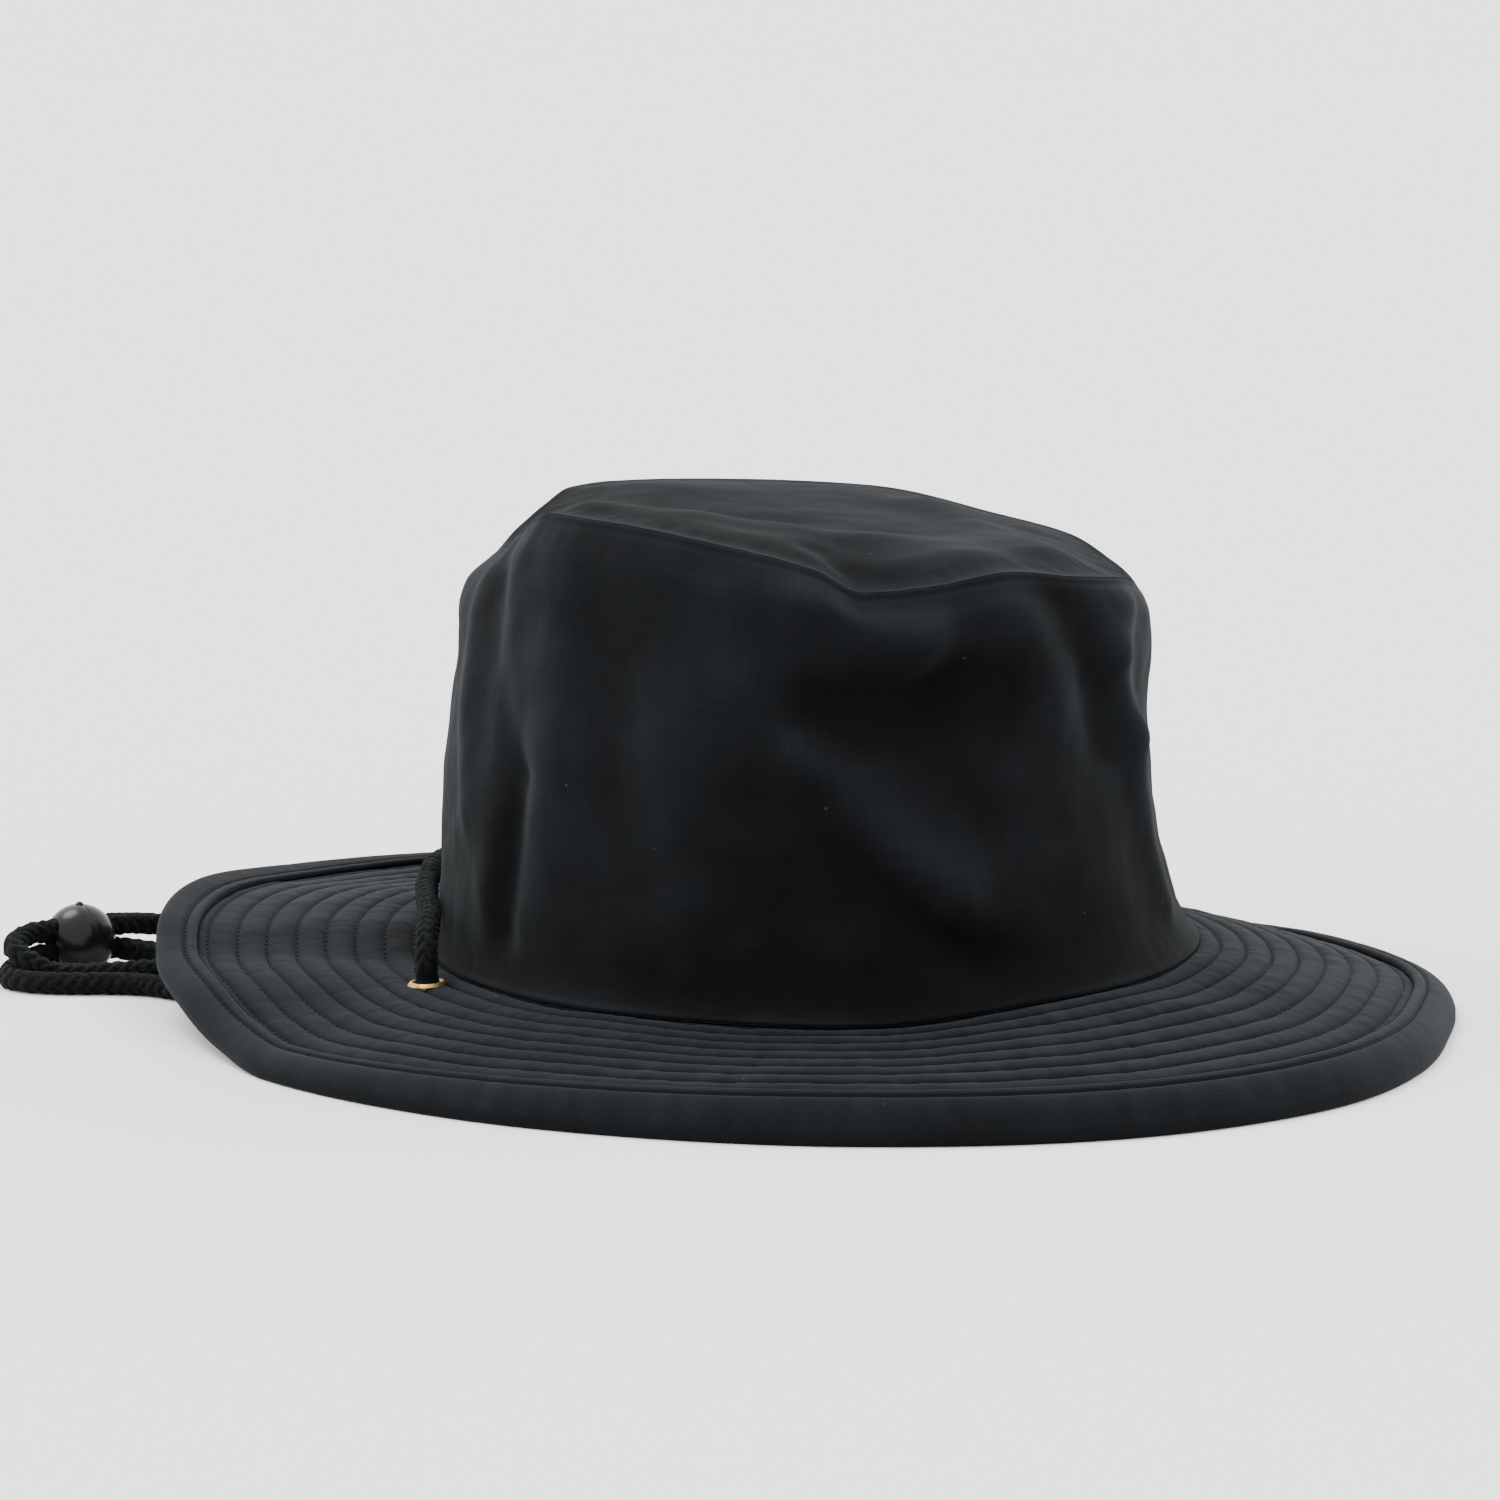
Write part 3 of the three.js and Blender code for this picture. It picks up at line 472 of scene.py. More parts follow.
def cottonWeave(name, settings):
    material, shader = newMaterial(name)
    if settings["follows"] == "uv":
        source = addNode(material, "ShaderNodeUVMap", {}).outputs["UV"]
    else:
        source = addNode(material, "ShaderNodeTexCoord", {}).outputs["Object"]
    perThread = math.pi / (cotton["threadSpacing"] * metres)
    turned = addNode(material, "ShaderNodeMapping", {
        "Vector": source, "Rotation": (0, 0, math.radians(settings["grainTurn"]))}).outputs["Vector"]
    threads = addNode(material, "ShaderNodeVectorMath", {0: turned, 1: (perThread, perThread, perThread)},
                      operation="MULTIPLY").outputs["Vector"]
    waves = addNode(material, "ShaderNodeVectorMath", {0: threads}, operation="SINE").outputs["Vector"]
    crossed = addNode(material, "ShaderNodeSeparateXYZ", {"Vector": waves})
    weave = addNode(material, "ShaderNodeMath", {0: crossed.outputs["X"], 1: crossed.outputs["Y"]},
                    operation="MULTIPLY").outputs["Value"]
    slubs = []
    along, across = cotton["slubsPerMetre"]
    for scale in ((along, across, along), (across, along, along)):  # warp, then weft
        stretched = addNode(material, "ShaderNodeMapping", {"Vector": turned, "Scale": scale})
        slubs.append(addNode(material, "ShaderNodeTexNoise", {
            "Vector": stretched.outputs["Vector"], "Scale": 1.0, "Detail": 2.0}).outputs[0])
    slub = addNode(material, "ShaderNodeMath", {0: slubs[0], 1: slubs[1]}, operation="ADD").outputs["Value"]
    woven = addNode(material, "ShaderNodeMath", {0: weave, 1: cotton["weaveDepth"], 2: slub},
                    operation="MULTIPLY_ADD")
    objectPlace = addNode(material, "ShaderNodeTexCoord", {}).outputs["Object"]
    clouds = addNode(material, "ShaderNodeTexNoise", {
        "Vector": objectPlace, "Scale": cotton["cloudsPerMetre"], "Detail": 4.0, "Roughness": 0.6}).outputs[0]
    # Pales the dye by a per-point attribute: partly rubbed wear, partly painted light on raised cloth and
    # painted shade in hollows and creases.
    wornAndShaded = addNode(material, "ShaderNodeAttribute", {}, attribute_name="wearAndShade").outputs["Fac"]
    wornAndShadedClouds = addNode(material, "ShaderNodeMath", {0: wornAndShaded, 1: clouds},
                         operation="MULTIPLY").outputs["Value"]
    paleGain, paleStart = cotton["fade"]
    shade = addNode(material, "ShaderNodeMath", {0: wornAndShadedClouds, 1: paleGain, 2: paleStart},
                    operation="MULTIPLY_ADD", use_clamp=True)
    dyedAndShaded = addNode(material, "ShaderNodeMix", {
        "Factor": shade.outputs["Value"], 6: linear(settings["deep"]), 7: linear(settings["fadedAndLit"])},
        data_type="RGBA").outputs[2]
    darkThread, paleThread = cotton["threadShade"]
    threadShade = addNode(material, "ShaderNodeMapRange", {
        "Value": woven.outputs["Value"], "From Min": 0.5, "From Max": 1.5,
        "To Min": darkThread, "To Max": paleThread})
    cloth = addNode(material, "ShaderNodeMix", {
        "Factor": 1.0, 6: dyedAndShaded, 7: threadShade.outputs["Result"]}, data_type="RGBA",
        blend_type="MULTIPLY").outputs[2]
    lintCells = addNode(material, "ShaderNodeTexVoronoi", {
        "Vector": objectPlace, "Scale": cotton["lintPerMetre"]})
    lint = addNode(material, "ShaderNodeMath", {0: lintCells.outputs["Distance"], 1: cotton["lintSize"]},
                   operation="LESS_THAN").outputs["Value"]
    colour = addNode(material, "ShaderNodeMix", {"Factor": lint, 6: cloth, 7: linear(cotton["lint"])},
                     data_type="RGBA").outputs[2]
    fineBump = addNode(material, "ShaderNodeBump", {
        "Height": woven.outputs["Value"], "Strength": settings["bump"],
        "Distance": cotton["weaveRelief"] * metres})
    softBump = addNode(material, "ShaderNodeBump", {
        "Height": clouds, "Strength": cotton["cloudBump"], "Distance": cotton["cloudRelief"] * metres,
        "Normal": fineBump.outputs["Normal"]})
    material.node_tree.links.new(colour, shader.inputs["Base Color"])
    material.node_tree.links.new(softBump.outputs["Normal"], shader.inputs["Normal"])
    shader.inputs["Roughness"].default_value = settings["roughness"]
    shader.inputs["IOR"].default_value = cotton["ior"]
    shader.inputs["Specular IOR Level"].default_value = cotton["specular"]
    shader.inputs["Sheen Weight"].default_value = settings["sheen"]
    shader.inputs["Sheen Roughness"].default_value = cotton["sheenRoughness"]
    shader.inputs["Sheen Tint"].default_value = linear(cotton["sheenTint"])
    return material


# The tape is cut on the bias, so its grain is turned, and pressed, so it is a little smoother.
crownCotton = cottonWeave("black cotton drill, rubbed, with painted shade and light", {
    "follows": "uv", "grainTurn": 0, "deep": "060708", "fadedAndLit": "17191c", "bump": 0.16, "roughness": 0.88,
    "sheen": 0.042})
panelCotton = cottonWeave("black cotton drill, flat panels", {
    "follows": "plan", "grainTurn": 8, "deep": "060708", "fadedAndLit": "17191c", "bump": 0.16, "roughness": 0.88,
    "sheen": 0.042})
tipCotton = cottonWeave("black cotton drill, tip panel", {
    "follows": "plan", "grainTurn": -6, "deep": "050607", "fadedAndLit": "14161a", "bump": 0.16, "roughness": 0.92,
    "sheen": 0.022})
biasTape = cottonWeave("black cotton bias tape, pressed", {
    "follows": "uv", "grainTurn": 45, "deep": "060708", "fadedAndLit": "16181b", "bump": 0.2, "roughness": 0.84,
    "sheen": 0.042})


# Spun polyester sewing thread: a little glossier than the cloth, with its twist too fine to show.
def sewingThread():
    material, shader = newMaterial("black spun sewing thread")
    place = addNode(material, "ShaderNodeTexCoord", {}).outputs["Object"]
    grain = addNode(material, "ShaderNodeTexNoise", {"Vector": place, "Scale": 1500.0}).outputs[0]
    tone = addNode(material, "ShaderNodeMix", {"Factor": grain, 6: linear("030303"), 7: linear("0a0b0c")},
                   data_type="RGBA").outputs[2]
    twist = addNode(material, "ShaderNodeBump", {"Height": grain, "Strength": 0.3, "Distance": 0.0001})
    material.node_tree.links.new(tone, shader.inputs["Base Color"])
    material.node_tree.links.new(twist.outputs["Normal"], shader.inputs["Normal"])
    shader.inputs["Roughness"].default_value = 0.7
    shader.inputs["Specular IOR Level"].default_value = 0.1
    return material


blackThread = sewingThread()


# Braided cotton cord: the strands are in the mesh, and fine yarns and painted shade between them in the
# shader.
def braidedCotton():
    material, shader = newMaterial("black braided cotton cord")
    place = addNode(material, "ShaderNodeUVMap", {}).outputs["UV"]
    yarnPlace = addNode(material, "ShaderNodeMapping", {"Vector": place, "Scale": (2600, 900, 1)})
    yarns = addNode(material, "ShaderNodeTexNoise", {
        "Vector": yarnPlace.outputs["Vector"], "Scale": 1.0, "Detail": 3.0}).outputs[0]
    raised = addNode(material, "ShaderNodeAttribute", {}, attribute_name="wearAndShade").outputs["Fac"]
    both = addNode(material, "ShaderNodeMath", {0: raised, 1: yarns}, operation="MULTIPLY").outputs["Value"]
    # Painted shade: darker between the strands, with random yarn tone.
    spread = addNode(material, "ShaderNodeMapRange", {"Value": both, "From Min": 0.1, "From Max": 0.65})
    tone = addNode(material, "ShaderNodeMix", {
        "Factor": spread.outputs["Result"], 6: linear("020202"), 7: linear("0f1113")},
        data_type="RGBA").outputs[2]
    fuzz = addNode(material, "ShaderNodeBump", {"Height": yarns, "Strength": 0.8, "Distance": 0.0005})
    material.node_tree.links.new(tone, shader.inputs["Base Color"])
    material.node_tree.links.new(fuzz.outputs["Normal"], shader.inputs["Normal"])
    shader.inputs["Roughness"].default_value = 0.9
    shader.inputs["Specular IOR Level"].default_value = 0.06
    shader.inputs["Sheen Weight"].default_value = 0.03
    shader.inputs["Sheen Roughness"].default_value = 0.5
    shader.inputs["Sheen Tint"].default_value = linear(cotton["sheenTint"])
    return material


braid = braidedCotton()


# Eyelet brass: stamped and rolled, with dull tarnish in patches and fine scuffs.
def stampedBrass():
    material, shader = newMaterial("stamped brass, tarnished")
    place = addNode(material, "ShaderNodeTexCoord", {}).outputs["Object"]
    patches = addNode(material, "ShaderNodeTexNoise", {
        "Vector": place, "Scale": 420.0, "Detail": 4.0, "Roughness": 0.65}).outputs[0]
    dull = addNode(material, "ShaderNodeMapRange", {"Value": patches, "From Min": 0.42, "From Max": 0.68})
    tone = addNode(material, "ShaderNodeMix", {
        "Factor": dull.outputs["Result"], 6: linear("b8985c"), 7: linear("6a5026")},
        data_type="RGBA").outputs[2]
    gloss = addNode(material, "ShaderNodeMapRange", {
        "Value": patches, "From Min": 0.3, "From Max": 0.7, "To Min": 0.34, "To Max": 0.55})
    scuffs = addNode(material, "ShaderNodeBump", {"Height": patches, "Strength": 0.15, "Distance": 0.0001})
    material.node_tree.links.new(tone, shader.inputs["Base Color"])
    material.node_tree.links.new(gloss.outputs["Result"], shader.inputs["Roughness"])
    material.node_tree.links.new(scuffs.outputs["Normal"], shader.inputs["Normal"])
    shader.inputs["Metallic"].default_value = 1.0
    return material


brass = stampedBrass()


# Moulded ABS, glossy and dark brown-grey, with handling haze.
def mouldedAbs():
    material, shader = newMaterial("moulded black ABS, polished by handling")
    place = addNode(material, "ShaderNodeTexCoord", {}).outputs["Object"]
    haze = addNode(material, "ShaderNodeTexNoise", {
        "Vector": place, "Scale": 260.0, "Detail": 5.0, "Roughness": 0.6}).outputs[0]
    tone = addNode(material, "ShaderNodeMix", {"Factor": haze, 6: linear("0b0a0a"), 7: linear("131110")},
                   data_type="RGBA").outputs[2]
    gloss = addNode(material, "ShaderNodeMapRange", {
        "Value": haze, "From Min": 0.35, "From Max": 0.7, "To Min": 0.24, "To Max": 0.3})
    ripple = addNode(material, "ShaderNodeBump", {"Height": haze, "Strength": 0.03, "Distance": 0.0002})
    material.node_tree.links.new(tone, shader.inputs["Base Color"])
    material.node_tree.links.new(gloss.outputs["Result"], shader.inputs["Roughness"])
    material.node_tree.links.new(ripple.outputs["Normal"], shader.inputs["Normal"])
    shader.inputs["IOR"].default_value = 1.53
    shader.inputs["Specular IOR Level"].default_value = 0.14
    return material


togglePlastic = mouldedAbs()
print("materials made")

# Camera at the photograph's viewing angle
bpy.ops.object.camera_add(location=photoCamera["place"], rotation=(
    math.radians(photoCamera["tilt"]), 0, math.radians(photoCamera["turn"])))
camera = bpy.context.object
camera.data.lens = photoCamera["lens"]
camera.data.sensor_width = photoCamera["sensor"]
camera.data.clip_end = photoCamera["reach"]
bpy.context.scene.camera = camera

# Toggle: a moulded ball with a tall slot for the two strands, a parting line and a moulding nub
toggle = {
    "diameter": 17,
    "heading": 189,
    "place": (-136.7, 113.5),
    "floorClearance": 0.1,
    "slotWidth": 5.8,
    "slotHeight": 11.2,
    "slotRounding": 0.5,
    "partingDepth": 0.12,
    "partingWidth": 0.25,
    "nubRadius": 1.1,
    "nubRise": 0.65,
}


def mouldedToggle():
    radius = toggle["diameter"] / 2
    deselectAll()
    bpy.ops.mesh.primitive_uv_sphere_add(segments=96, ring_count=64, radius=radius * metres)
    ball = bpy.context.object
    ball.name = "toggle_ball"
    for vertex in ball.data.vertices:  # parting line in the plane across the slot
        fromLine = vertex.co.x / (toggle["partingWidth"] * metres)
        vertex.co *= 1 - toggle["partingDepth"] / radius * math.exp(-fromLine ** 2)
    deselectAll()
    bpy.ops.mesh.primitive_cylinder_add(vertices=48, radius=toggle["slotWidth"] / 2 * metres,
                                        depth=cutterLength, rotation=(0, math.pi / 2, 0))
    cutter = bpy.context.object
    bpy.ops.object.transform_apply(location=True, rotation=True, scale=True)
    straight = (toggle["slotHeight"] - toggle["slotWidth"]) / 2 * metres
    for vertex in cutter.data.vertices:
        vertex.co.z += straight if vertex.co.z > 0 else -straight
    slot = ball.modifiers.new("slot", "BOOLEAN")
    slot.object = cutter
    slot.solver = "EXACT"
    applyModifiers(ball)
    bpy.data.objects.remove(cutter)
    rounding = ball.modifiers.new("slot rim", "BEVEL")
    rounding.width = toggle["slotRounding"] * metres
    rounding.segments = 3
    rounding.limit_method = "ANGLE"
    rounding.angle_limit = math.radians(40)
    applyModifiers(ball)
    deselectAll()
    nubCentre = (radius + toggle["nubRise"] - toggle["nubRadius"]) * metres
    bpy.ops.mesh.primitive_uv_sphere_add(segments=24, ring_count=12, radius=toggle["nubRadius"] * metres,
                                         location=(0, 0, nubCentre))
    nub = bpy.context.object
    nub.select_set(True)
    ball.select_set(True)
    bpy.context.view_layer.objects.active = ball
    bpy.ops.object.join()
    bpy.ops.object.shade_smooth_by_angle(angle=math.radians(45))
    centre = toMetres(np.array([*toggle["place"], radius + toggle["floorClearance"]]))
    turn = Matrix.Rotation(math.radians(toggle["heading"]), 4, "Z")
    settle(ball, Matrix.Translation(Vector(centre)) @ turn)
    finish(ball, "plastic", togglePlastic, "toggle")
    return ball


toggleBall = mouldedToggle()
print("toggle moulded")

# Chin cord: one braided loop in four runs, each through the points chosen for it, in metres
cord = {
    "diameter": 0.005,
    "strands": 6,
    "braidPitch": 0.0185,
    "underStrand": 0.45,
    "relief": 0.0009,
    "fluff": 0.0003,
    "uneven": 0.00022,
    "noiseLength": 0.0016,
    "slackGrain": (1, 1, 0.3),
    "yarnGrain": (3, 3, 1.5),
    "slackRound": 0.02,  # how far the strands wander round the cord, in turns
    "slackAlong": 0.0011,  # and along it
    "slackShare": 0.6,
    "sides": 40,
    "step": 0.00042,
    "curvePoints": 24,
    "pathEvery": 10,
}

cordRoutes = {
    "cord_back": [
        (-0.0918, 0.0044, 0.0105), (-0.092, 0.0046, 0.0155), (-0.0906, 0.008, 0.0198),
        (-0.087, 0.0154, 0.0228), (-0.0822, 0.0262, 0.0246), (-0.0781, 0.0376, 0.026),
        (-0.0729, 0.0495, 0.0276), (-0.0657, 0.062, 0.029), (-0.0566, 0.0732, 0.029),
        (-0.0454, 0.0842, 0.0272), (-0.0316, 0.0932, 0.0236), (-0.0168, 0.0992, 0.0194),
        (-0.0016, 0.1024, 0.0159), (0.0134, 0.102, 0.0158), (0.028, 0.0984, 0.0162),
        (0.0424, 0.0916, 0.0167), (0.056, 0.082, 0.0173), (0.0682, 0.0696, 0.018),
        (0.0786, 0.0554, 0.0187), (0.0864, 0.04, 0.0197), (0.0916, 0.026, 0.0217),
        (0.0952, 0.0146, 0.024), (0.0971, 0.008, 0.0236), (0.0978, 0.0048, 0.0202),
        (0.09696, 0.0045, 0.0161),
    ],
    "cord_near": [
        (-0.0918, 0.0044, 0.0102), (-0.0916, 0.0046, 0.0062), (-0.0926, 0.0092, 0.0032),
        (-0.0946, 0.019, 0.0027), (-0.097, 0.033, 0.0027), (-0.0984, 0.046, 0.0027),
        (-0.1, 0.059, 0.0027), (-0.1022, 0.072, 0.0027), (-0.1056, 0.0846, 0.0029),
        (-0.111, 0.096, 0.0034), (-0.1176, 0.1056, 0.0044), (-0.1234, 0.1116, 0.0052),
        (-0.1288, 0.1146, 0.0057), (-0.1367, 0.1135, 0.0058), (-0.1452, 0.1122, 0.0058),
    ],
    "cord_far": [
        (0.0969, 0.0045, 0.0158), (0.0959, 0.0046, 0.0112), (0.0964, 0.0078, 0.0064),
        (0.0988, 0.0152, 0.0032), (0.1018, 0.029, 0.0027), (0.0998, 0.043, 0.0027),
        (0.0954, 0.057, 0.0027), (0.0888, 0.07, 0.0027), (0.0802, 0.082, 0.0027),
        (0.0698, 0.0926, 0.0027), (0.0578, 0.1016, 0.0027), (0.0446, 0.1088, 0.0027),
        (0.0306, 0.1142, 0.0027), (0.016, 0.1176, 0.0027), (0.001, 0.1192, 0.0027),
        (-0.014, 0.1194, 0.0027), (-0.029, 0.1188, 0.0027), (-0.044, 0.118, 0.0028),
        (-0.059, 0.1176, 0.003), (-0.074, 0.118, 0.0036), (-0.0888, 0.1192, 0.005),
        (-0.1026, 0.12, 0.0072), (-0.1154, 0.119, 0.0098), (-0.123, 0.1168, 0.011),
        (-0.1288, 0.1148, 0.0113), (-0.1367, 0.1135, 0.0114), (-0.1452, 0.1122, 0.0114),
    ],
    "cord_bight": [
        (-0.1455, 0.11215, 0.0114), (-0.1482, 0.11175, 0.0113), (-0.152, 0.1102, 0.0108),
        (-0.155, 0.1072, 0.0098), (-0.156, 0.1034, 0.0085), (-0.1542, 0.0998, 0.0068),
        (-0.1498, 0.0963, 0.0042), (-0.1436, 0.0934, 0.0037), (-0.1348, 0.0886, 0.0044),
        (-0.1262, 0.0828, 0.005), (-0.1176, 0.0778, 0.0041), (-0.1112, 0.0724, 0.003),
        (-0.1086, 0.0652, 0.0027), (-0.1094, 0.0582, 0.0027), (-0.1151, 0.0535, 0.0027),
        (-0.1217, 0.0555, 0.0027), (-0.125, 0.062, 0.0027), (-0.1276, 0.0706, 0.0027),
        (-0.1318, 0.0784, 0.0027), (-0.1376, 0.0838, 0.0027), (-0.1454, 0.0876, 0.0027),
        (-0.152, 0.0914, 0.0027), (-0.1566, 0.0966, 0.0027), (-0.158, 0.1024, 0.0027),
        (-0.1564, 0.1076, 0.0029), (-0.1526, 0.1108, 0.0039), (-0.1484, 0.1118, 0.0054),
        (-0.1455, 0.11215, 0.0058),
    ],
}


# Smooth centripetal curve through a route's points, at even steps along its length.
def alongRoute(route, step):
    points = np.array(route)
    points = np.concatenate([[2 * points[0] - points[1]], points, [2 * points[-1] - points[-2]]])
    fine = []
    for a, b, c, d in zip(points, points[1:], points[2:], points[3:]):
        before, here, after = (math.sqrt(np.linalg.norm(q - p)) for p, q in ((a, b), (b, c), (c, d)))
        startSlope = ((b - a) / before - (c - a) / (before + here) + (c - b) / here) * here
        endSlope = ((c - b) / here - (d - b) / (here + after) + (d - c) / after) * here
        t = np.linspace(0, 1, cord["curvePoints"], endpoint=False)[:, None]
        fine.append((2 * t ** 3 - 3 * t ** 2 + 1) * b + (t ** 3 - 2 * t ** 2 + t) * startSlope
                    + (3 * t ** 2 - 2 * t ** 3) * c + (t ** 3 - t ** 2) * endSlope)
    fine = np.concatenate(fine + [points[-2][None]])
    length = np.concatenate([[0], np.cumsum(np.linalg.norm(np.diff(fine, axis=0), axis=1))])
    places = np.linspace(0, length[-1], int(round(length[-1] / step)) + 1)
    return np.stack([np.interp(places, length, fine[:, k]) for k in range(3)], 1), places


# Height of the braid's strands, 0 to 1: two families of helices, each over two and under two.
def braidHeight(turn, along):
    right = (turn - along / cord["braidPitch"]) * cord["strands"]
    left = (turn + along / cord["braidPitch"]) * cord["strands"]
    heights = []
    for own, other in ((right, left), (left, right)):
        across = np.sqrt(np.maximum(0, 1 - (2 * (np.mod(own, 1) - 0.5)) ** 2))
        sign = 1 if own is right else -1
        weave = 0.5 + 0.5 * sign * np.sin(math.pi * (np.floor(own) + other) / 2 - math.pi / 4)
        heights.append(across * mix(cord["underStrand"], 1, weave))
    return np.maximum(*heights)


# One direction across the cord at each of its points, which turns no more than the cord does.
def acrossCord(tangents):
    side = unit(np.cross(tangents[0], (0.3, 0.5, 1)))  # no run starts along this line
    sides = []
    for tangent in tangents:
        side = side - tangent * (side @ tangent)
        side = side / np.linalg.norm(side)
        sides.append(side)
    return np.array(sides)


def makeCord(name):
    centres, places = alongRoute(cordRoutes[name], cord["step"])
    centres[:, :2] += planShift * metres
    tangents = unit(np.gradient(centres, axis=0))
    sides = acrossCord(tangents)
    ups = np.cross(tangents, sides)
    turn = np.linspace(0, 1, cord["sides"] + 1)[None, :]
    a = 2 * math.pi * turn[..., None]
    around = np.concatenate(np.broadcast_arrays(
        np.cos(a), np.sin(a), places[:, None, None] / cord["noiseLength"]), -1)
    slack = clothNoise(around * cord["slackGrain"], 1, 14)
    yarns = clothNoise(around * cord["yarnGrain"], 1, 15)
    height = braidHeight(turn + cord["slackRound"] * slack, places[:, None] + cord["slackAlong"] * slack)
    radius = (cord["diameter"] / 2 + cord["fluff"] - cord["relief"] * (1 - height)
              + cord["uneven"] * (cord["slackShare"] * slack + yarns))
    rings = centres[:, None] + radius[..., None] * (np.cos(a) * sides[:, None] + np.sin(a) * ups[:, None])
    caps = [np.broadcast_to(centres[i], rings[:1].shape) for i in (0, -1)]
    rings = np.concatenate([caps[0], rings, caps[1]])
    rings[..., :2] -= planShift * metres
    girth = cord["diameter"] * math.pi * turn
    lengths = np.concatenate([places[:1], places, places[-1:]])[:, None]
    uv = np.stack(np.broadcast_arrays(girth, lengths), -1) / metres
    # Strand height, which the braid's shader turns into painted shade between the strands.
    wearAndShade = np.concatenate([height[:1], height, height[-1:]])
    piece = wrapGrid(name + "_braid", rings / metres, uv, wearAndShade)
    finish(piece, "braid", braid, name)
    print(name, "laid,", round(float(places[-1]) * 1000), "mm")


for cordName in cordRoutes:
    makeCord(cordName)

# Crown wall: outer surface with its rolled foot, folds and puckers, closed by its inner surface
wallMesh = {
    "columns": 600,
    "footRows": 10,
    "middleRows": 90,
    "topRows": 12,
    "innerRows": 18,
    "roll": 0.55,
    "tuck": 1.5,
    "seamGroove": 0.22,
    "topTurn": 0.5,
    "waves": ((26, 0.9, 1), (11, 0.42, 2), (5, 0.14, 16)),  # size, height and seed of each
    "puckerOval": (85, 95),
    "footPucker": 0.12,
    "topPucker": 0.25,
    "topPuckerShare": 0.7,  # top puckers for each foot pucker
    "weaveRadius": 88,
    "wearAndShade": 0.45,
    "wearAndShadeOnWaves": 0.45,
    "wearAndShadeOnFolds": 0.5,
    "wearAndShadeOnRoll": 0.3,
    "paintedFootShade": 0.35,
    "insideWear": 0.4,
}


def crownWall():
    angle = np.linspace(0, 360, wallMesh["columns"] + 1)[None, :]
    rise = np.concatenate([np.linspace(0, 0.03, wallMesh["footRows"]),
                           np.linspace(0.04, 0.95, wallMesh["middleRows"]),
                           np.linspace(0.957, 1, wallMesh["topRows"])])[:, None]
    spanHeight = tipSeamZ(angle) - seamZ(angle)
    up = rise * spanHeight  # millimetres above the brim's seam
    down = (1 - rise) * spanHeight  # millimetres below the tip's seam
    base = wallPoint(angle, rise + 0 * angle)
    waves = clothWaves(base, wallMesh["waves"])
    folds = wallFoldDepth(angle, rise) / crown["foldDepth"]
    footPucker = ringNoise(angle, wallMesh["puckerOval"], brim["puckerLength"], 3)
    topPuckerLength = brim["puckerLength"] / wallMesh["topPuckerShare"]
    topPucker = ringNoise(angle, wallMesh["puckerOval"], topPuckerLength, 4, 1.0)
    outward = waves * smoothStep(up, 1, 12) * smoothStep(down, 0.5, 8)
    outward += wallMesh["roll"] * bump(up, 1.1, 0.9) - wallMesh["tuck"] * (1 - smoothStep(up, 0, 0.9))
    outward += wallMesh["footPucker"] * footPucker * bump(up, 3.5, 3.5)
    outward += wallMesh["topPucker"] * topPucker * bump(down, 4, 4)
    outward -= wallMesh["seamGroove"] * bump(down, 1.4, 0.7)
    outward -= wallMesh["topTurn"] * (1 - smoothStep(down, 0, 0.6))
    outer = wallPoint(angle, rise + 0 * angle, outward)
    innerRise = np.linspace(0.985, 0, wallMesh["innerRows"])[:, None]
    inner = wallPoint(angle, innerRise + 0 * angle, -crown["wall"] + 0 * innerRise * angle)
    points = np.concatenate([outer, inner, outer[:1]])
    around = np.radians(angle) * wallMesh["weaveRadius"]
    uv = np.stack(np.broadcast_arrays(around, sectionLength(points)[:, None]), -1)
    # Paler where waves, folds and the rolled foot stand out, darker in fold hollows: partly rubbed wear,
    # partly painted light and shade.
    wearAndShade = wallMesh["wearAndShade"] + wallMesh["wearAndShadeOnWaves"] * waves + wallMesh["wearAndShadeOnFolds"] * folds
    wearAndShade = wearAndShade + wallMesh["wearAndShadeOnRoll"] * bump(up, 1.2, 1.2)
    # Painted shade: the wall is darker towards its foot, which the brim shades.
    wearAndShade = wearAndShade - wallMesh["paintedFootShade"] * (1 - smoothStep(rise, 0.1, 0.55))
    inside = np.full((len(inner) + 1, angle.shape[1]), wallMesh["insideWear"])
    wearAndShade = np.concatenate([wearAndShade, inside])
    finish(wrapGrid("crown_wall", points, uv, wearAndShade), "cotton", crownCotton, "crown_side")


crownWall()
print("crown wall made")

# Tip panel: rolled over the top of the wall at the pinched seam
tipMesh = {
    "columns": 480,
    "rows": 62,
    "underRows": 10,
    "inset": 1.9,
    "roll": 0.22,
    # inset and rise of each line of the rolled edge
    "rollSection": ((1.3, 1), (0.9, 0.9), (0.55, 0.6), (0.4, 0.1), (0.7, -0.6), (1.3, -1.2)),
    "puff": 2.6,
    "puffWidth": 15,
    "puffTurn": 20,
    "waves": ((22, 0.6, 7), (8, 0.22, 8)),
    "pinchOval": (70, 84),
    "pinchLength": 3.5,
    "pinchDepth": 0.35,
    "wearAndShade": 0.5,
    "wearAndShadeOnWaves": 0.5,
    "wearAndShadeOnEdge": 0.1,
    "paintedSideShade": 0.55,
    "paintedSideShadeAcross": (-60, 15),
    "underWear": 0.6,
}


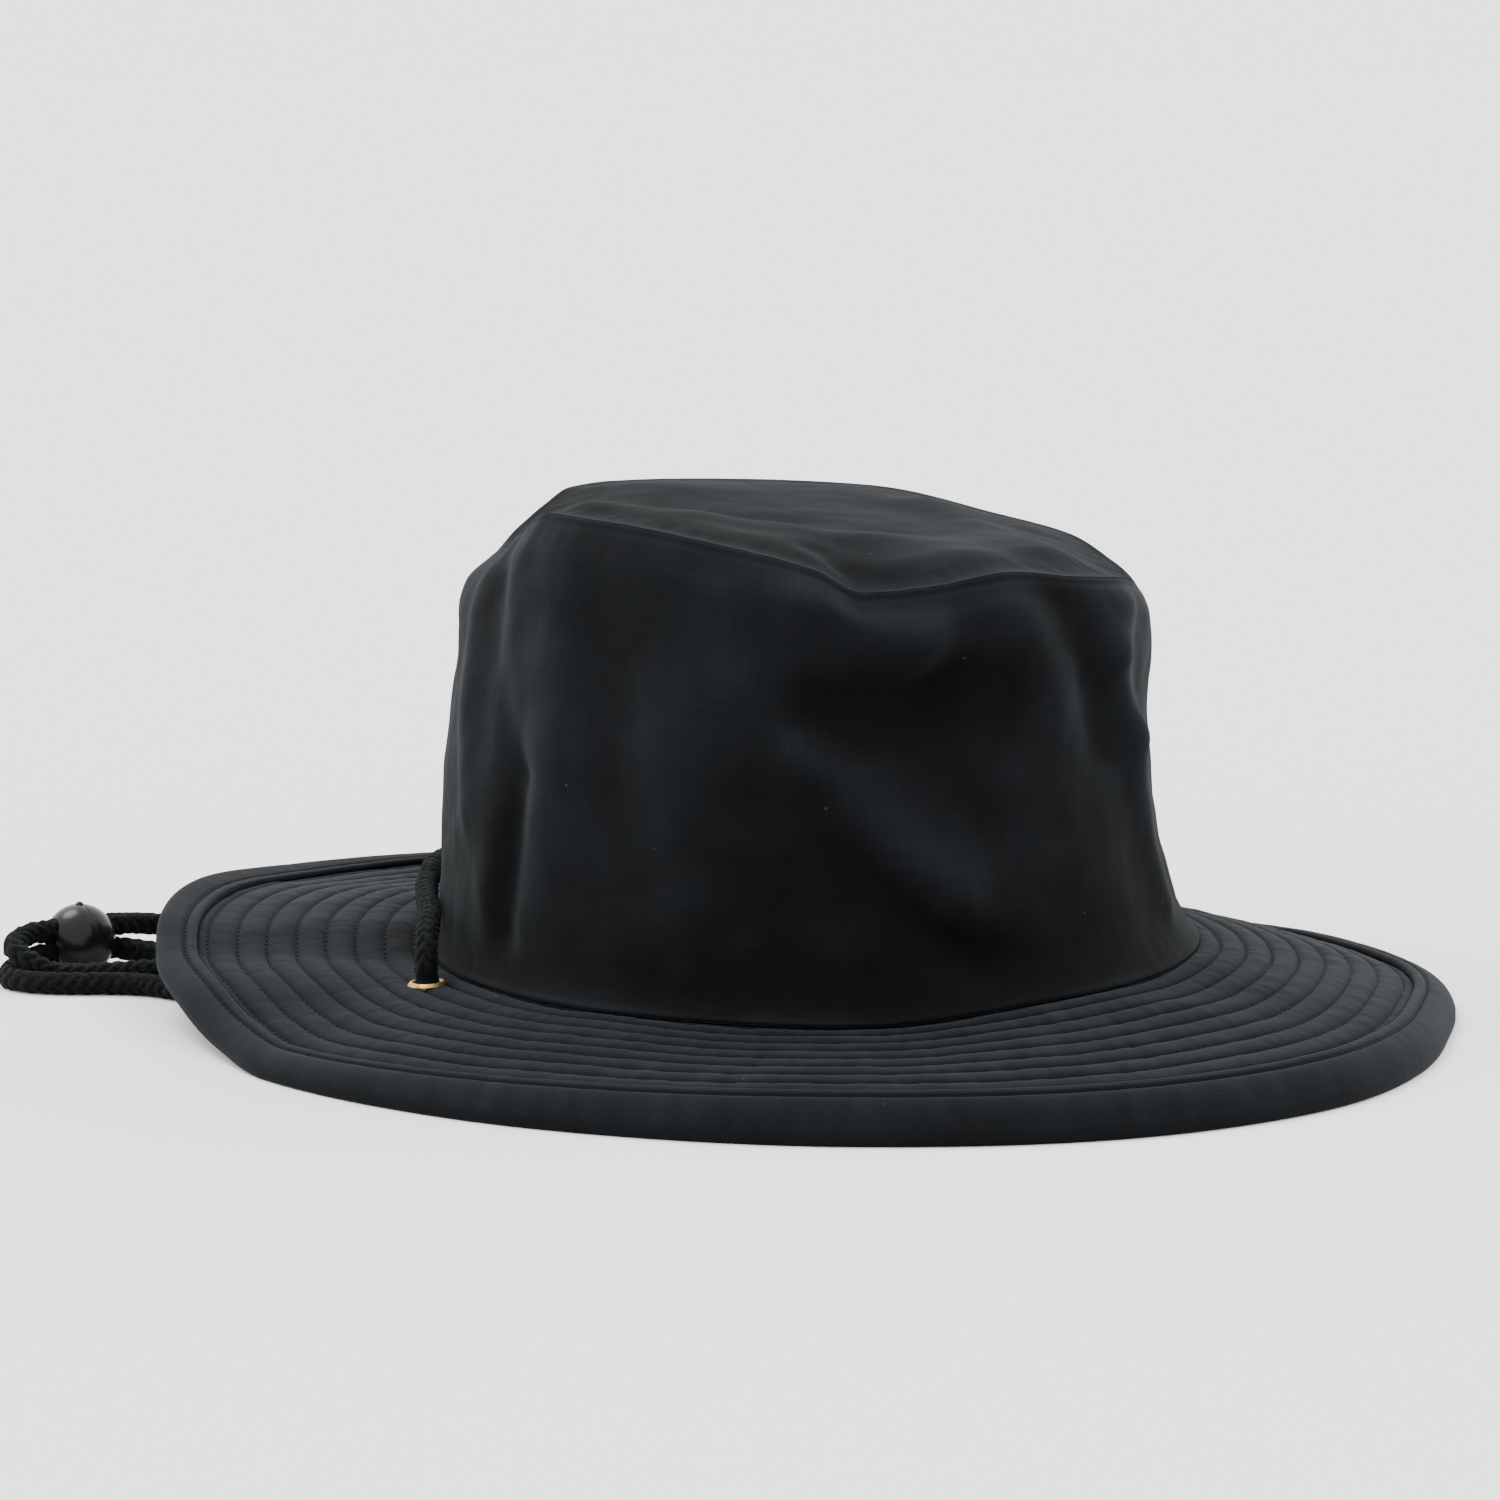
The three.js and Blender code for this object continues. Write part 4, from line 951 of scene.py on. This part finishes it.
def crownTop():
    angle = np.linspace(0, 360, tipMesh["columns"] + 1)[None, :]
    share = np.linspace(0, 1, tipMesh["rows"])[:, None] + 0 * angle
    top = tipSurface(angle, share, tipMesh["inset"])
    pinch = ringNoise(angle, tipMesh["pinchOval"], tipMesh["pinchLength"], 6)
    fromEdge = (1 - share) * (crown["tipHalfWidth"] + crown["tipHalfLength"]) / 2
    waves = clothWaves(top, tipMesh["waves"])
    lift = tipMesh["roll"] * (1 - smoothStep(fromEdge, 0, 4)) * (0.8 + 0.25 * pinch)
    lift = lift + waves * smoothStep(fromEdge, 1, 9) + tipMesh["pinchDepth"] * pinch * bump(fromEdge, 4.5, 3)
    facingFront = 0.5 - 0.5 * np.sin(np.radians(angle + tipMesh["puffTurn"]))
    lift = lift + tipMesh["puff"] * facingFront * smoothStep(fromEdge, 0, tipMesh["puffWidth"]) * share
    top[..., 2] += lift
    rolls = []
    for inset, height in tipMesh["rollSection"]:
        edge = wallPoint(angle, np.ones_like(angle), -inset + 0 * angle)
        rolls.append(upward(edge, tipMesh["roll"] * height * (0.85 + 0.2 * pinch)))
    underShare = np.linspace(1, 0, tipMesh["underRows"])[:, None] + 0 * angle
    under = upward(tipSurface(angle, underShare, tipMesh["inset"]), -crown["wall"])
    points = np.concatenate([top] + rolls + [under])
    # Paler where waves and the rolled edge stand out: partly rubbed wear, partly painted light.
    wearAndShade = tipMesh["wearAndShade"] + tipMesh["wearAndShadeOnWaves"] * waves + tipMesh["wearAndShadeOnEdge"] * bump(fromEdge, 0.5, 2)
    # Painted shade: the tip's left side is darker.
    wearAndShade = wearAndShade - tipMesh["paintedSideShade"] * (1 - smoothStep(top[..., 0], *tipMesh["paintedSideShadeAcross"]))
    underneath = np.full((len(rolls) + len(under), angle.shape[1]), tipMesh["underWear"])
    wearAndShade = np.concatenate([wearAndShade, underneath])
    finish(wrapGrid("crown_top", points, points[..., :2], wearAndShade), "cotton", tipCotton, "crown_tip")


crownTop()
print("crown top made")

# Quilted brim: a valley at each stitched row, a puff between rows and radial puckers from the stitches
brimMesh = {
    "columns": 864,
    # places of the lines between one stitched row and the next
    "bandPlaces": (0, 0.05, 0.12, 0.25, 0.42, 0.58, 0.75, 0.88, 0.95),
    "underEvery": 4,
    "tuck": 2.5,
    "foot": 0.6,
    "grip": 6.4,
    "edgeTuck": 0.2,
    "creaseWidth": 0.38,
    "archPower": 2.1,
    "pullPower": 1.3,
    "lastPuff": 0.5,
    "puckerOval": (110, 125),
    "ringStep": 7.7,
    "waves": ((30, 0.5, 10),),
    "puffWaves": ((7, 0.2, 13), (14, 0.16, 17)),  # none at the stitched rows
    "wearAndShade": 0.35,
    "wearAndShadeOnPuff": 0.3,
    "wearAndShadeOnPucker": 0.5,
    "tuckWear": (0.3, 0.2),
    "underWear": 0.4,
}


# Noise round each stitched row, one wave about as long as a stitch's pitch, so the cloth pulls at the thread.
def rowPuckers(angle):
    return [ringNoise(angle, brimMesh["puckerOval"], brim["puckerLength"], 9, row * brimMesh["ringStep"])
            for row in range(brim["rows"] + 2)]


def quiltedBrim():
    angle = np.linspace(0, 360, brimMesh["columns"] + 1)[None, :]
    zero = 0 * angle
    puckers = rowPuckers(angle)
    edge = stitchedWidthAt(angle)
    bounds = [zero] + [rowDistance(angle, row) for row in range(brim["rows"])] + [edge]
    half = brim["wall"] / 2
    edgeHalf = half - brimMesh["edgeTuck"]
    top = [upward(brimMiddle(angle, zero - brimMesh["tuck"]), half),
           upward(brimMiddle(angle, zero - brimMesh["foot"]), edgeHalf)]
    under = [upward(brimMiddle(angle, zero - brimMesh["tuck"]), -half)]
    wears = [zero + wornAndShaded for wornAndShaded in brimMesh["tuckWear"]]
    for band in range(brim["rows"] + 1):
        spread = bounds[band + 1] - bounds[band]
        puff = brim["puff"] if band < brim["rows"] else brim["puff"] * brimMesh["lastPuff"]
        for step, t in enumerate(brimMesh["bandPlaces"]):
            arch = 1 - abs(2 * t - 1) ** brimMesh["archPower"]
            fromRow = spread * min(t, 1 - t)
            crease = np.exp(-(fromRow / brimMesh["creaseWidth"]) ** 2)
            pull = (puckers[band] * (1 - t) ** brimMesh["pullPower"]
                    + puckers[band + 1] * t ** brimMesh["pullPower"])
            height = puff * arch - brim["valley"] * crease + brim["pucker"] * pull * (1 - crease)
            place = brimMiddle(angle, mix(bounds[band], bounds[band + 1], t))
            waves = clothWaves(place, brimMesh["waves"]) + clothWaves(place, brimMesh["puffWaves"]) * arch
            top.append(upward(place, half + height + waves))
            # Paler on the puffs and puckers: partly rubbed wear, partly painted light. Darker in each
            # stitched crease: painted shade.
            wornAndShaded = brimMesh["wearAndShade"] + brimMesh["wearAndShadeOnPuff"] * arch + brimMesh["wearAndShadeOnPucker"] * pull
            wears.append(wornAndShaded * (1 - crease))
            if step % brimMesh["underEvery"] == 0:
                under.append(upward(place, -half + brim["valley"] * (1 - 2 * arch) + waves))
    under.append(upward(brimMiddle(angle, edge), -edgeHalf))
    inTape = brimMiddle(angle, edge + brimMesh["grip"])
    top += [upward(brimMiddle(angle, edge), edgeHalf), upward(inTape, edgeHalf), upward(inTape, -edgeHalf)]
    points = np.concatenate(top + under[::-1] + top[:1])
    wearAndShade = np.full(points.shape[:2], brimMesh["underWear"])
    wearAndShade[:len(wears)] = np.concatenate(wears)
    return wrapGrid("brim_quilt", points, points[..., :2], wearAndShade)


brimPiece = quiltedBrim()
print("brim quilted")

# Eyelets: a stamped ring with a rolled flange, a barrel through the brim and the same rolled flange below
eyelet = {
    "bore": 5.8,
    "wall": 0.5,
    "flange": 9,
    "offset": 9.4,
    "angle": 177,
    "puff": 0.45,
    "holeClearance": 0.2,
    "turnSteps": 72,
}


# Where an eyelet sits and how it tilts: the brim's slope from its middle to its flange.
def eyeletFrame(angle):
    at, outer = (brimMiddle(np.array(float(angle)), np.array(eyelet["offset"] + out))
                 for out in (0, eyelet["flange"] / 2))
    centre = upward(at, eyelet["puff"] / 2)
    slope = unit(outer - at)
    up = unit(np.array([0, 0, 1]) - slope * slope[2])
    turn = Vector((0, 0, 1)).rotation_difference(Vector(up)).to_matrix().to_4x4()
    return Matrix.Translation(Vector(toMetres(centre))) @ turn


def stampedEyelet(name, node, angle):
    half = (brim["wall"] + eyelet["puff"]) / 2 + binding["clearance"]
    bore = eyelet["bore"] / 2
    flange = eyelet["flange"] / 2
    deselectAll()
    bpy.ops.mesh.primitive_circle_add(radius=flange * metres, fill_type="NOTHING")
    piece = bpy.context.object
    piece.name = name
    # Upper half of the section, from the bore out over the rolled flange and back, mirrored below
    section = [(bore, 0), (bore, half * 0.6), (bore + 0.05, half + 0.35), (bore + 0.3, half + 0.62),
               (bore + 0.75, half + 0.72), (bore + 1.15, half + 0.6), (flange - 0.15, half + 0.18),
               (flange, half - 0.05), (flange - 0.1, half - 0.15), (bore + eyelet["wall"], half - 0.05)]
    section = section + [(r, -z) for r, z in section[::-1]][:-1]
    mesh = piece.data
    mesh.clear_geometry()
    profile = [Vector((r * metres, 0, z * metres)) for r, z in section]
    mesh.from_pydata(profile, [(i, (i + 1) % len(profile)) for i in range(len(profile))], [])
    bpy.ops.object.mode_set(mode="EDIT")
    bpy.ops.mesh.select_all(action="SELECT")
    bpy.ops.mesh.spin(steps=eyelet["turnSteps"], angle=2 * math.pi, center=(0, 0, 0), axis=(0, 0, 1))
    bpy.ops.mesh.select_all(action="SELECT")
    bpy.ops.mesh.remove_doubles(threshold=0.001 * metres)
    bpy.ops.mesh.normals_make_consistent(inside=False)
    bpy.ops.object.mode_set(mode="OBJECT")
    bpy.ops.object.shade_smooth_by_angle(angle=math.radians(50))
    settle(piece, eyeletFrame(angle))
    finish(piece, "brass", brass, node)


def cutEyeletHole(angle):
    deselectAll()
    radius = eyelet["bore"] / 2 + eyelet["wall"] + eyelet["holeClearance"]
    bpy.ops.mesh.primitive_cylinder_add(vertices=32, radius=radius * metres, depth=cutterLength)
    cutter = bpy.context.object
    settle(cutter, eyeletFrame(angle))
    hole = brimPiece.modifiers.new("eyelet hole", "BOOLEAN")
    hole.object = cutter
    hole.solver = "EXACT"
    applyModifiers(brimPiece)
    bpy.data.objects.remove(cutter)


for eyeletAngle in (eyelet["angle"], 180 - eyelet["angle"]):
    cutEyeletHole(eyeletAngle)
finish(brimPiece, "cotton", panelCotton, "brim")
stampedEyelet("eyelet_ring_right", "eyelet_right", eyelet["angle"])
stampedEyelet("eyelet_ring_left", "eyelet_left", 180 - eyelet["angle"])
print("eyelets set")

# Bias tape folded round the rim: proud folded bead at its inner edge, a stitched line, then a smooth roll
tapeMesh = {
    "columns": 960,
    "stitchShare": 0.3,
    "pullOval": (144, 160),
    "pullLength": 4,
    "swayShare": 0.12,
    "sway": 0.35,
    "weaveRadius": 155,
    "wearAndShade": 0.45,
    "stitchGrooveShade": 0.05,
}


def foldedTape():
    angle = np.linspace(0, 360, tapeMesh["columns"] + 1)[None, :]
    pull = ringNoise(angle, tapeMesh["pullOval"], tapeMesh["pullLength"], 11)
    sway = tapeMesh["sway"] * ringNoise(angle, tapeMesh["pullOval"],
                                        tapeMesh["pullLength"] / tapeMesh["swayShare"], 12)
    half = bindingHalf
    foot = rimUndersideZ(angle)

    # One line round the tape, by the share of its width, its height above the middle and the stitches' pull
    def at(share, above, ripple=0.0):
        distance = stitchedWidthAt(angle) + binding["width"] * share + sway * min(1, max(0, share))
        place = brimMiddle(angle, distance)
        place[..., 2] = bindingMiddleZ(angle, np.full_like(angle, max(share, 0.0))) + above + ripple * pull
        return place

    bead = [(-0.02, half - 1.1, 0), (-0.03, half + 0.05, 0.12), (0.02, half + 0.42, 0.12),
            (0.07, half + 0.6, 0.12), (0.13, half + 0.6, 0.1), (0.2, half + 0.42, 0.1)]
    stitchLine = [(0.25, half + 0.1, 0.08), (0.285, half - 0.4, 0.06), (0.315, half - 0.4, 0.06),
                  (0.35, half + 0.08, 0.1)]
    roll = [(0.43, half + 0.26, 0.12), (0.56, half + 0.22, 0.1), (0.66, half + 0.1, 0.08),
            (0.76, half - 0.1, 0.06), (0.85, half * 0.8, 0.04), (0.92, half * 0.58, 0.02),
            (0.97, half * 0.33, 0), (1, half * 0.03, 0)]
    rows = [at(*section) for section in bead + stitchLine + roll]
    for share, rise in ((1, 0.3375), (0.985, 0.2025), (0.955, 0.081), (0.9, 0.009), (0.74, 0)):
        row = at(share, 0)
        row[..., 2] = mix(foot, row[..., 2], rise)
        rows.append(row)
    below = [(0.55, 0.05 - half), (0.4, -half), (0.33, 0.25 - half), (0.26, -half), (0.03, -half),
             (0, 0.6 - half)]
    inside = [(0.1, 0.9 - half), (0.72, 0.9 - half), (0.76, 0), (0.72, half - 0.9), (0.1, half - 0.9)]
    for section in below + inside:
        row = at(*section)
        row[..., 2] = np.maximum(row[..., 2], foot)
        rows.append(row)
    points = np.concatenate(rows + rows[:1])
    arc = np.radians(angle) * tapeMesh["weaveRadius"]
    uv = np.stack(np.broadcast_arrays(arc, sectionLength(points)[:, None]), -1)
    sewn = len(bead) + len(stitchLine)
    wearAndShade = np.full(points.shape[:2], tapeMesh["wearAndShade"])
    # Paler on the bead and the roll: partly rubbed wear, partly painted light. Near black along the stitched
    # groove: painted shade.
    wearAndShade[2:len(bead)] = 0.75 + 0.25 * pull
    wearAndShade[len(bead):sewn] = tapeMesh["stitchGrooveShade"]
    wearAndShade[sewn:sewn + len(roll) - 1] = 0.6 + 0.3 * pull
    finish(wrapGrid("brim_tape", points, uv, wearAndShade), "tape", biasTape, "brim_binding")


foldedTape()
print("tape folded")

# Lockstitches: one small rounded stitch modelled once and laid along every row
stitch = {
    "length": 2,
    "pitch": 2.7,
    "width": 0.45,
    "height": 0.3,
    "sink": 0.06,
    "tapeSink": 0.3,
    "lookAhead": 0.5,
}


# Where each stitch of a row lies, and its directions along, across and up.
def stitchFrames(rowPoints):
    closed = np.concatenate([rowPoints, rowPoints[:1]])
    length = np.concatenate([[0], np.cumsum(np.linalg.norm(np.diff(closed, axis=0), axis=1))])
    count = int(length[-1] / stitch["pitch"])
    places = (np.arange(count) + 0.5) * length[-1] / count
    placesAhead = np.mod(places + stitch["lookAhead"], length[-1])
    at, ahead = (np.stack([np.interp(where, length, closed[:, k]) for k in range(3)], 1)
                 for where in (places, placesAhead))
    along = unit(ahead - at)
    across = unit(np.cross((0.0, 0.0, 1.0), along))
    return at, along, across, np.cross(along, across)


def laidStitches(name, rows, slot):
    deselectAll()
    bpy.ops.mesh.primitive_uv_sphere_add(segments=8, ring_count=4, radius=0.5)
    bpy.ops.object.mode_set(mode="EDIT")
    bpy.ops.mesh.select_all(action="SELECT")
    bpy.ops.transform.rotate(value=math.pi / 2, orient_axis="Y", center_override=(0, 0, 0))
    bpy.ops.transform.resize(value=(stitch["length"], stitch["width"], stitch["height"]),
                             center_override=(0, 0, 0))
    bpy.ops.object.mode_set(mode="OBJECT")
    one = bpy.context.object
    corners = np.array([v.co[:] for v in one.data.vertices])
    faces = [tuple(p.vertices) for p in one.data.polygons]
    vertices, polygons = [], []
    for rowPoints in rows:
        at, along, across, up = stitchFrames(rowPoints)
        laid = (at[:, None] + corners[None, :, :1] * along[:, None] + corners[None, :, 1:2] * across[:, None]
                + corners[None, :, 2:] * up[:, None]).reshape(-1, 3)
        start = len(vertices)
        vertices.extend(toMetres(laid).tolist())
        for copy in range(len(at)):
            base = start + copy * len(corners)
            polygons.extend(tuple(base + i for i in face) for face in faces)
    one.name = name
    one.data.clear_geometry()
    one.data.from_pydata(vertices, [], polygons)
    bpy.ops.object.shade_smooth()
    finish(one, slot, blackThread)


rowAngles = np.arange(0, 360, 0.5)
stitchHeight = brim["wall"] / 2 - brim["valley"] + stitch["sink"]
laidStitches("brim_stitches", [upward(brimMiddle(rowAngles, rowDistance(rowAngles, row)), stitchHeight)
                               for row in range(brim["rows"])], "cotton")
tapeLine = brimMiddle(rowAngles, stitchedWidthAt(rowAngles) + binding["width"] * tapeMesh["stitchShare"])
tapeLine[..., 2] = bindingMiddleZ(rowAngles, tapeMesh["stitchShare"]) + bindingHalf - stitch["tapeSink"]
laidStitches("tape_stitches", [tapeLine], "tape")
print("stitches laid")

# Pale floor, soft studio light
studio = {
    "floorSize": 400,
    "floorTone": "c6c6c6",
    "skyTone": "f7f8f8",
    "skyStrength": 2.8,
    "lights": {
        "top_softbox": {"heading": 120, "height": 62, "spread": 30, "strength": 3.1},
        "left_softbox": {"heading": 165, "height": 35, "spread": 50, "strength": 2.6},
        "right_softbox": {"heading": 10, "height": 35, "spread": 50, "strength": 3.8},
    },
    "lowestSeenInGloss": 45,
}


def paleFloor():
    deselectAll()
    bpy.ops.mesh.primitive_plane_add(size=studio["floorSize"])
    floor = bpy.context.object
    floor.name = "studio_floor"
    material, shader = newMaterial("matt white studio floor")
    shader.inputs["Base Color"].default_value = linear(studio["floorTone"])
    shader.inputs["Roughness"].default_value = 1.0
    shader.inputs["Specular IOR Level"].default_value = 0.0
    floor.data.materials.append(material)


# A wide soft light from far off, so the floor is evenly bright to its horizon. Only a high one shows in
# glossy pieces.
def softLight(name, heading, height, spread, strength):
    tilt = (0, math.radians(90 - height), math.radians(heading))
    bpy.ops.object.light_add(type="SUN", location=(0, 0, 2), rotation=tilt)
    light = bpy.context.object
    light.name = name
    light.data.angle = math.radians(spread)
    light.data.energy = strength
    light.visible_glossy = height > studio["lowestSeenInGloss"]


paleFloor()
for lightName, lightSettings in studio["lights"].items():
    softLight(lightName, **lightSettings)

world = bpy.data.worlds.new("pale studio")
bpy.context.scene.world = world
world.use_nodes = True
world.node_tree.nodes["Background"].inputs["Color"].default_value = linear(studio["skyTone"])
world.node_tree.nodes["Background"].inputs["Strength"].default_value = studio["skyStrength"]
print("studio lit")
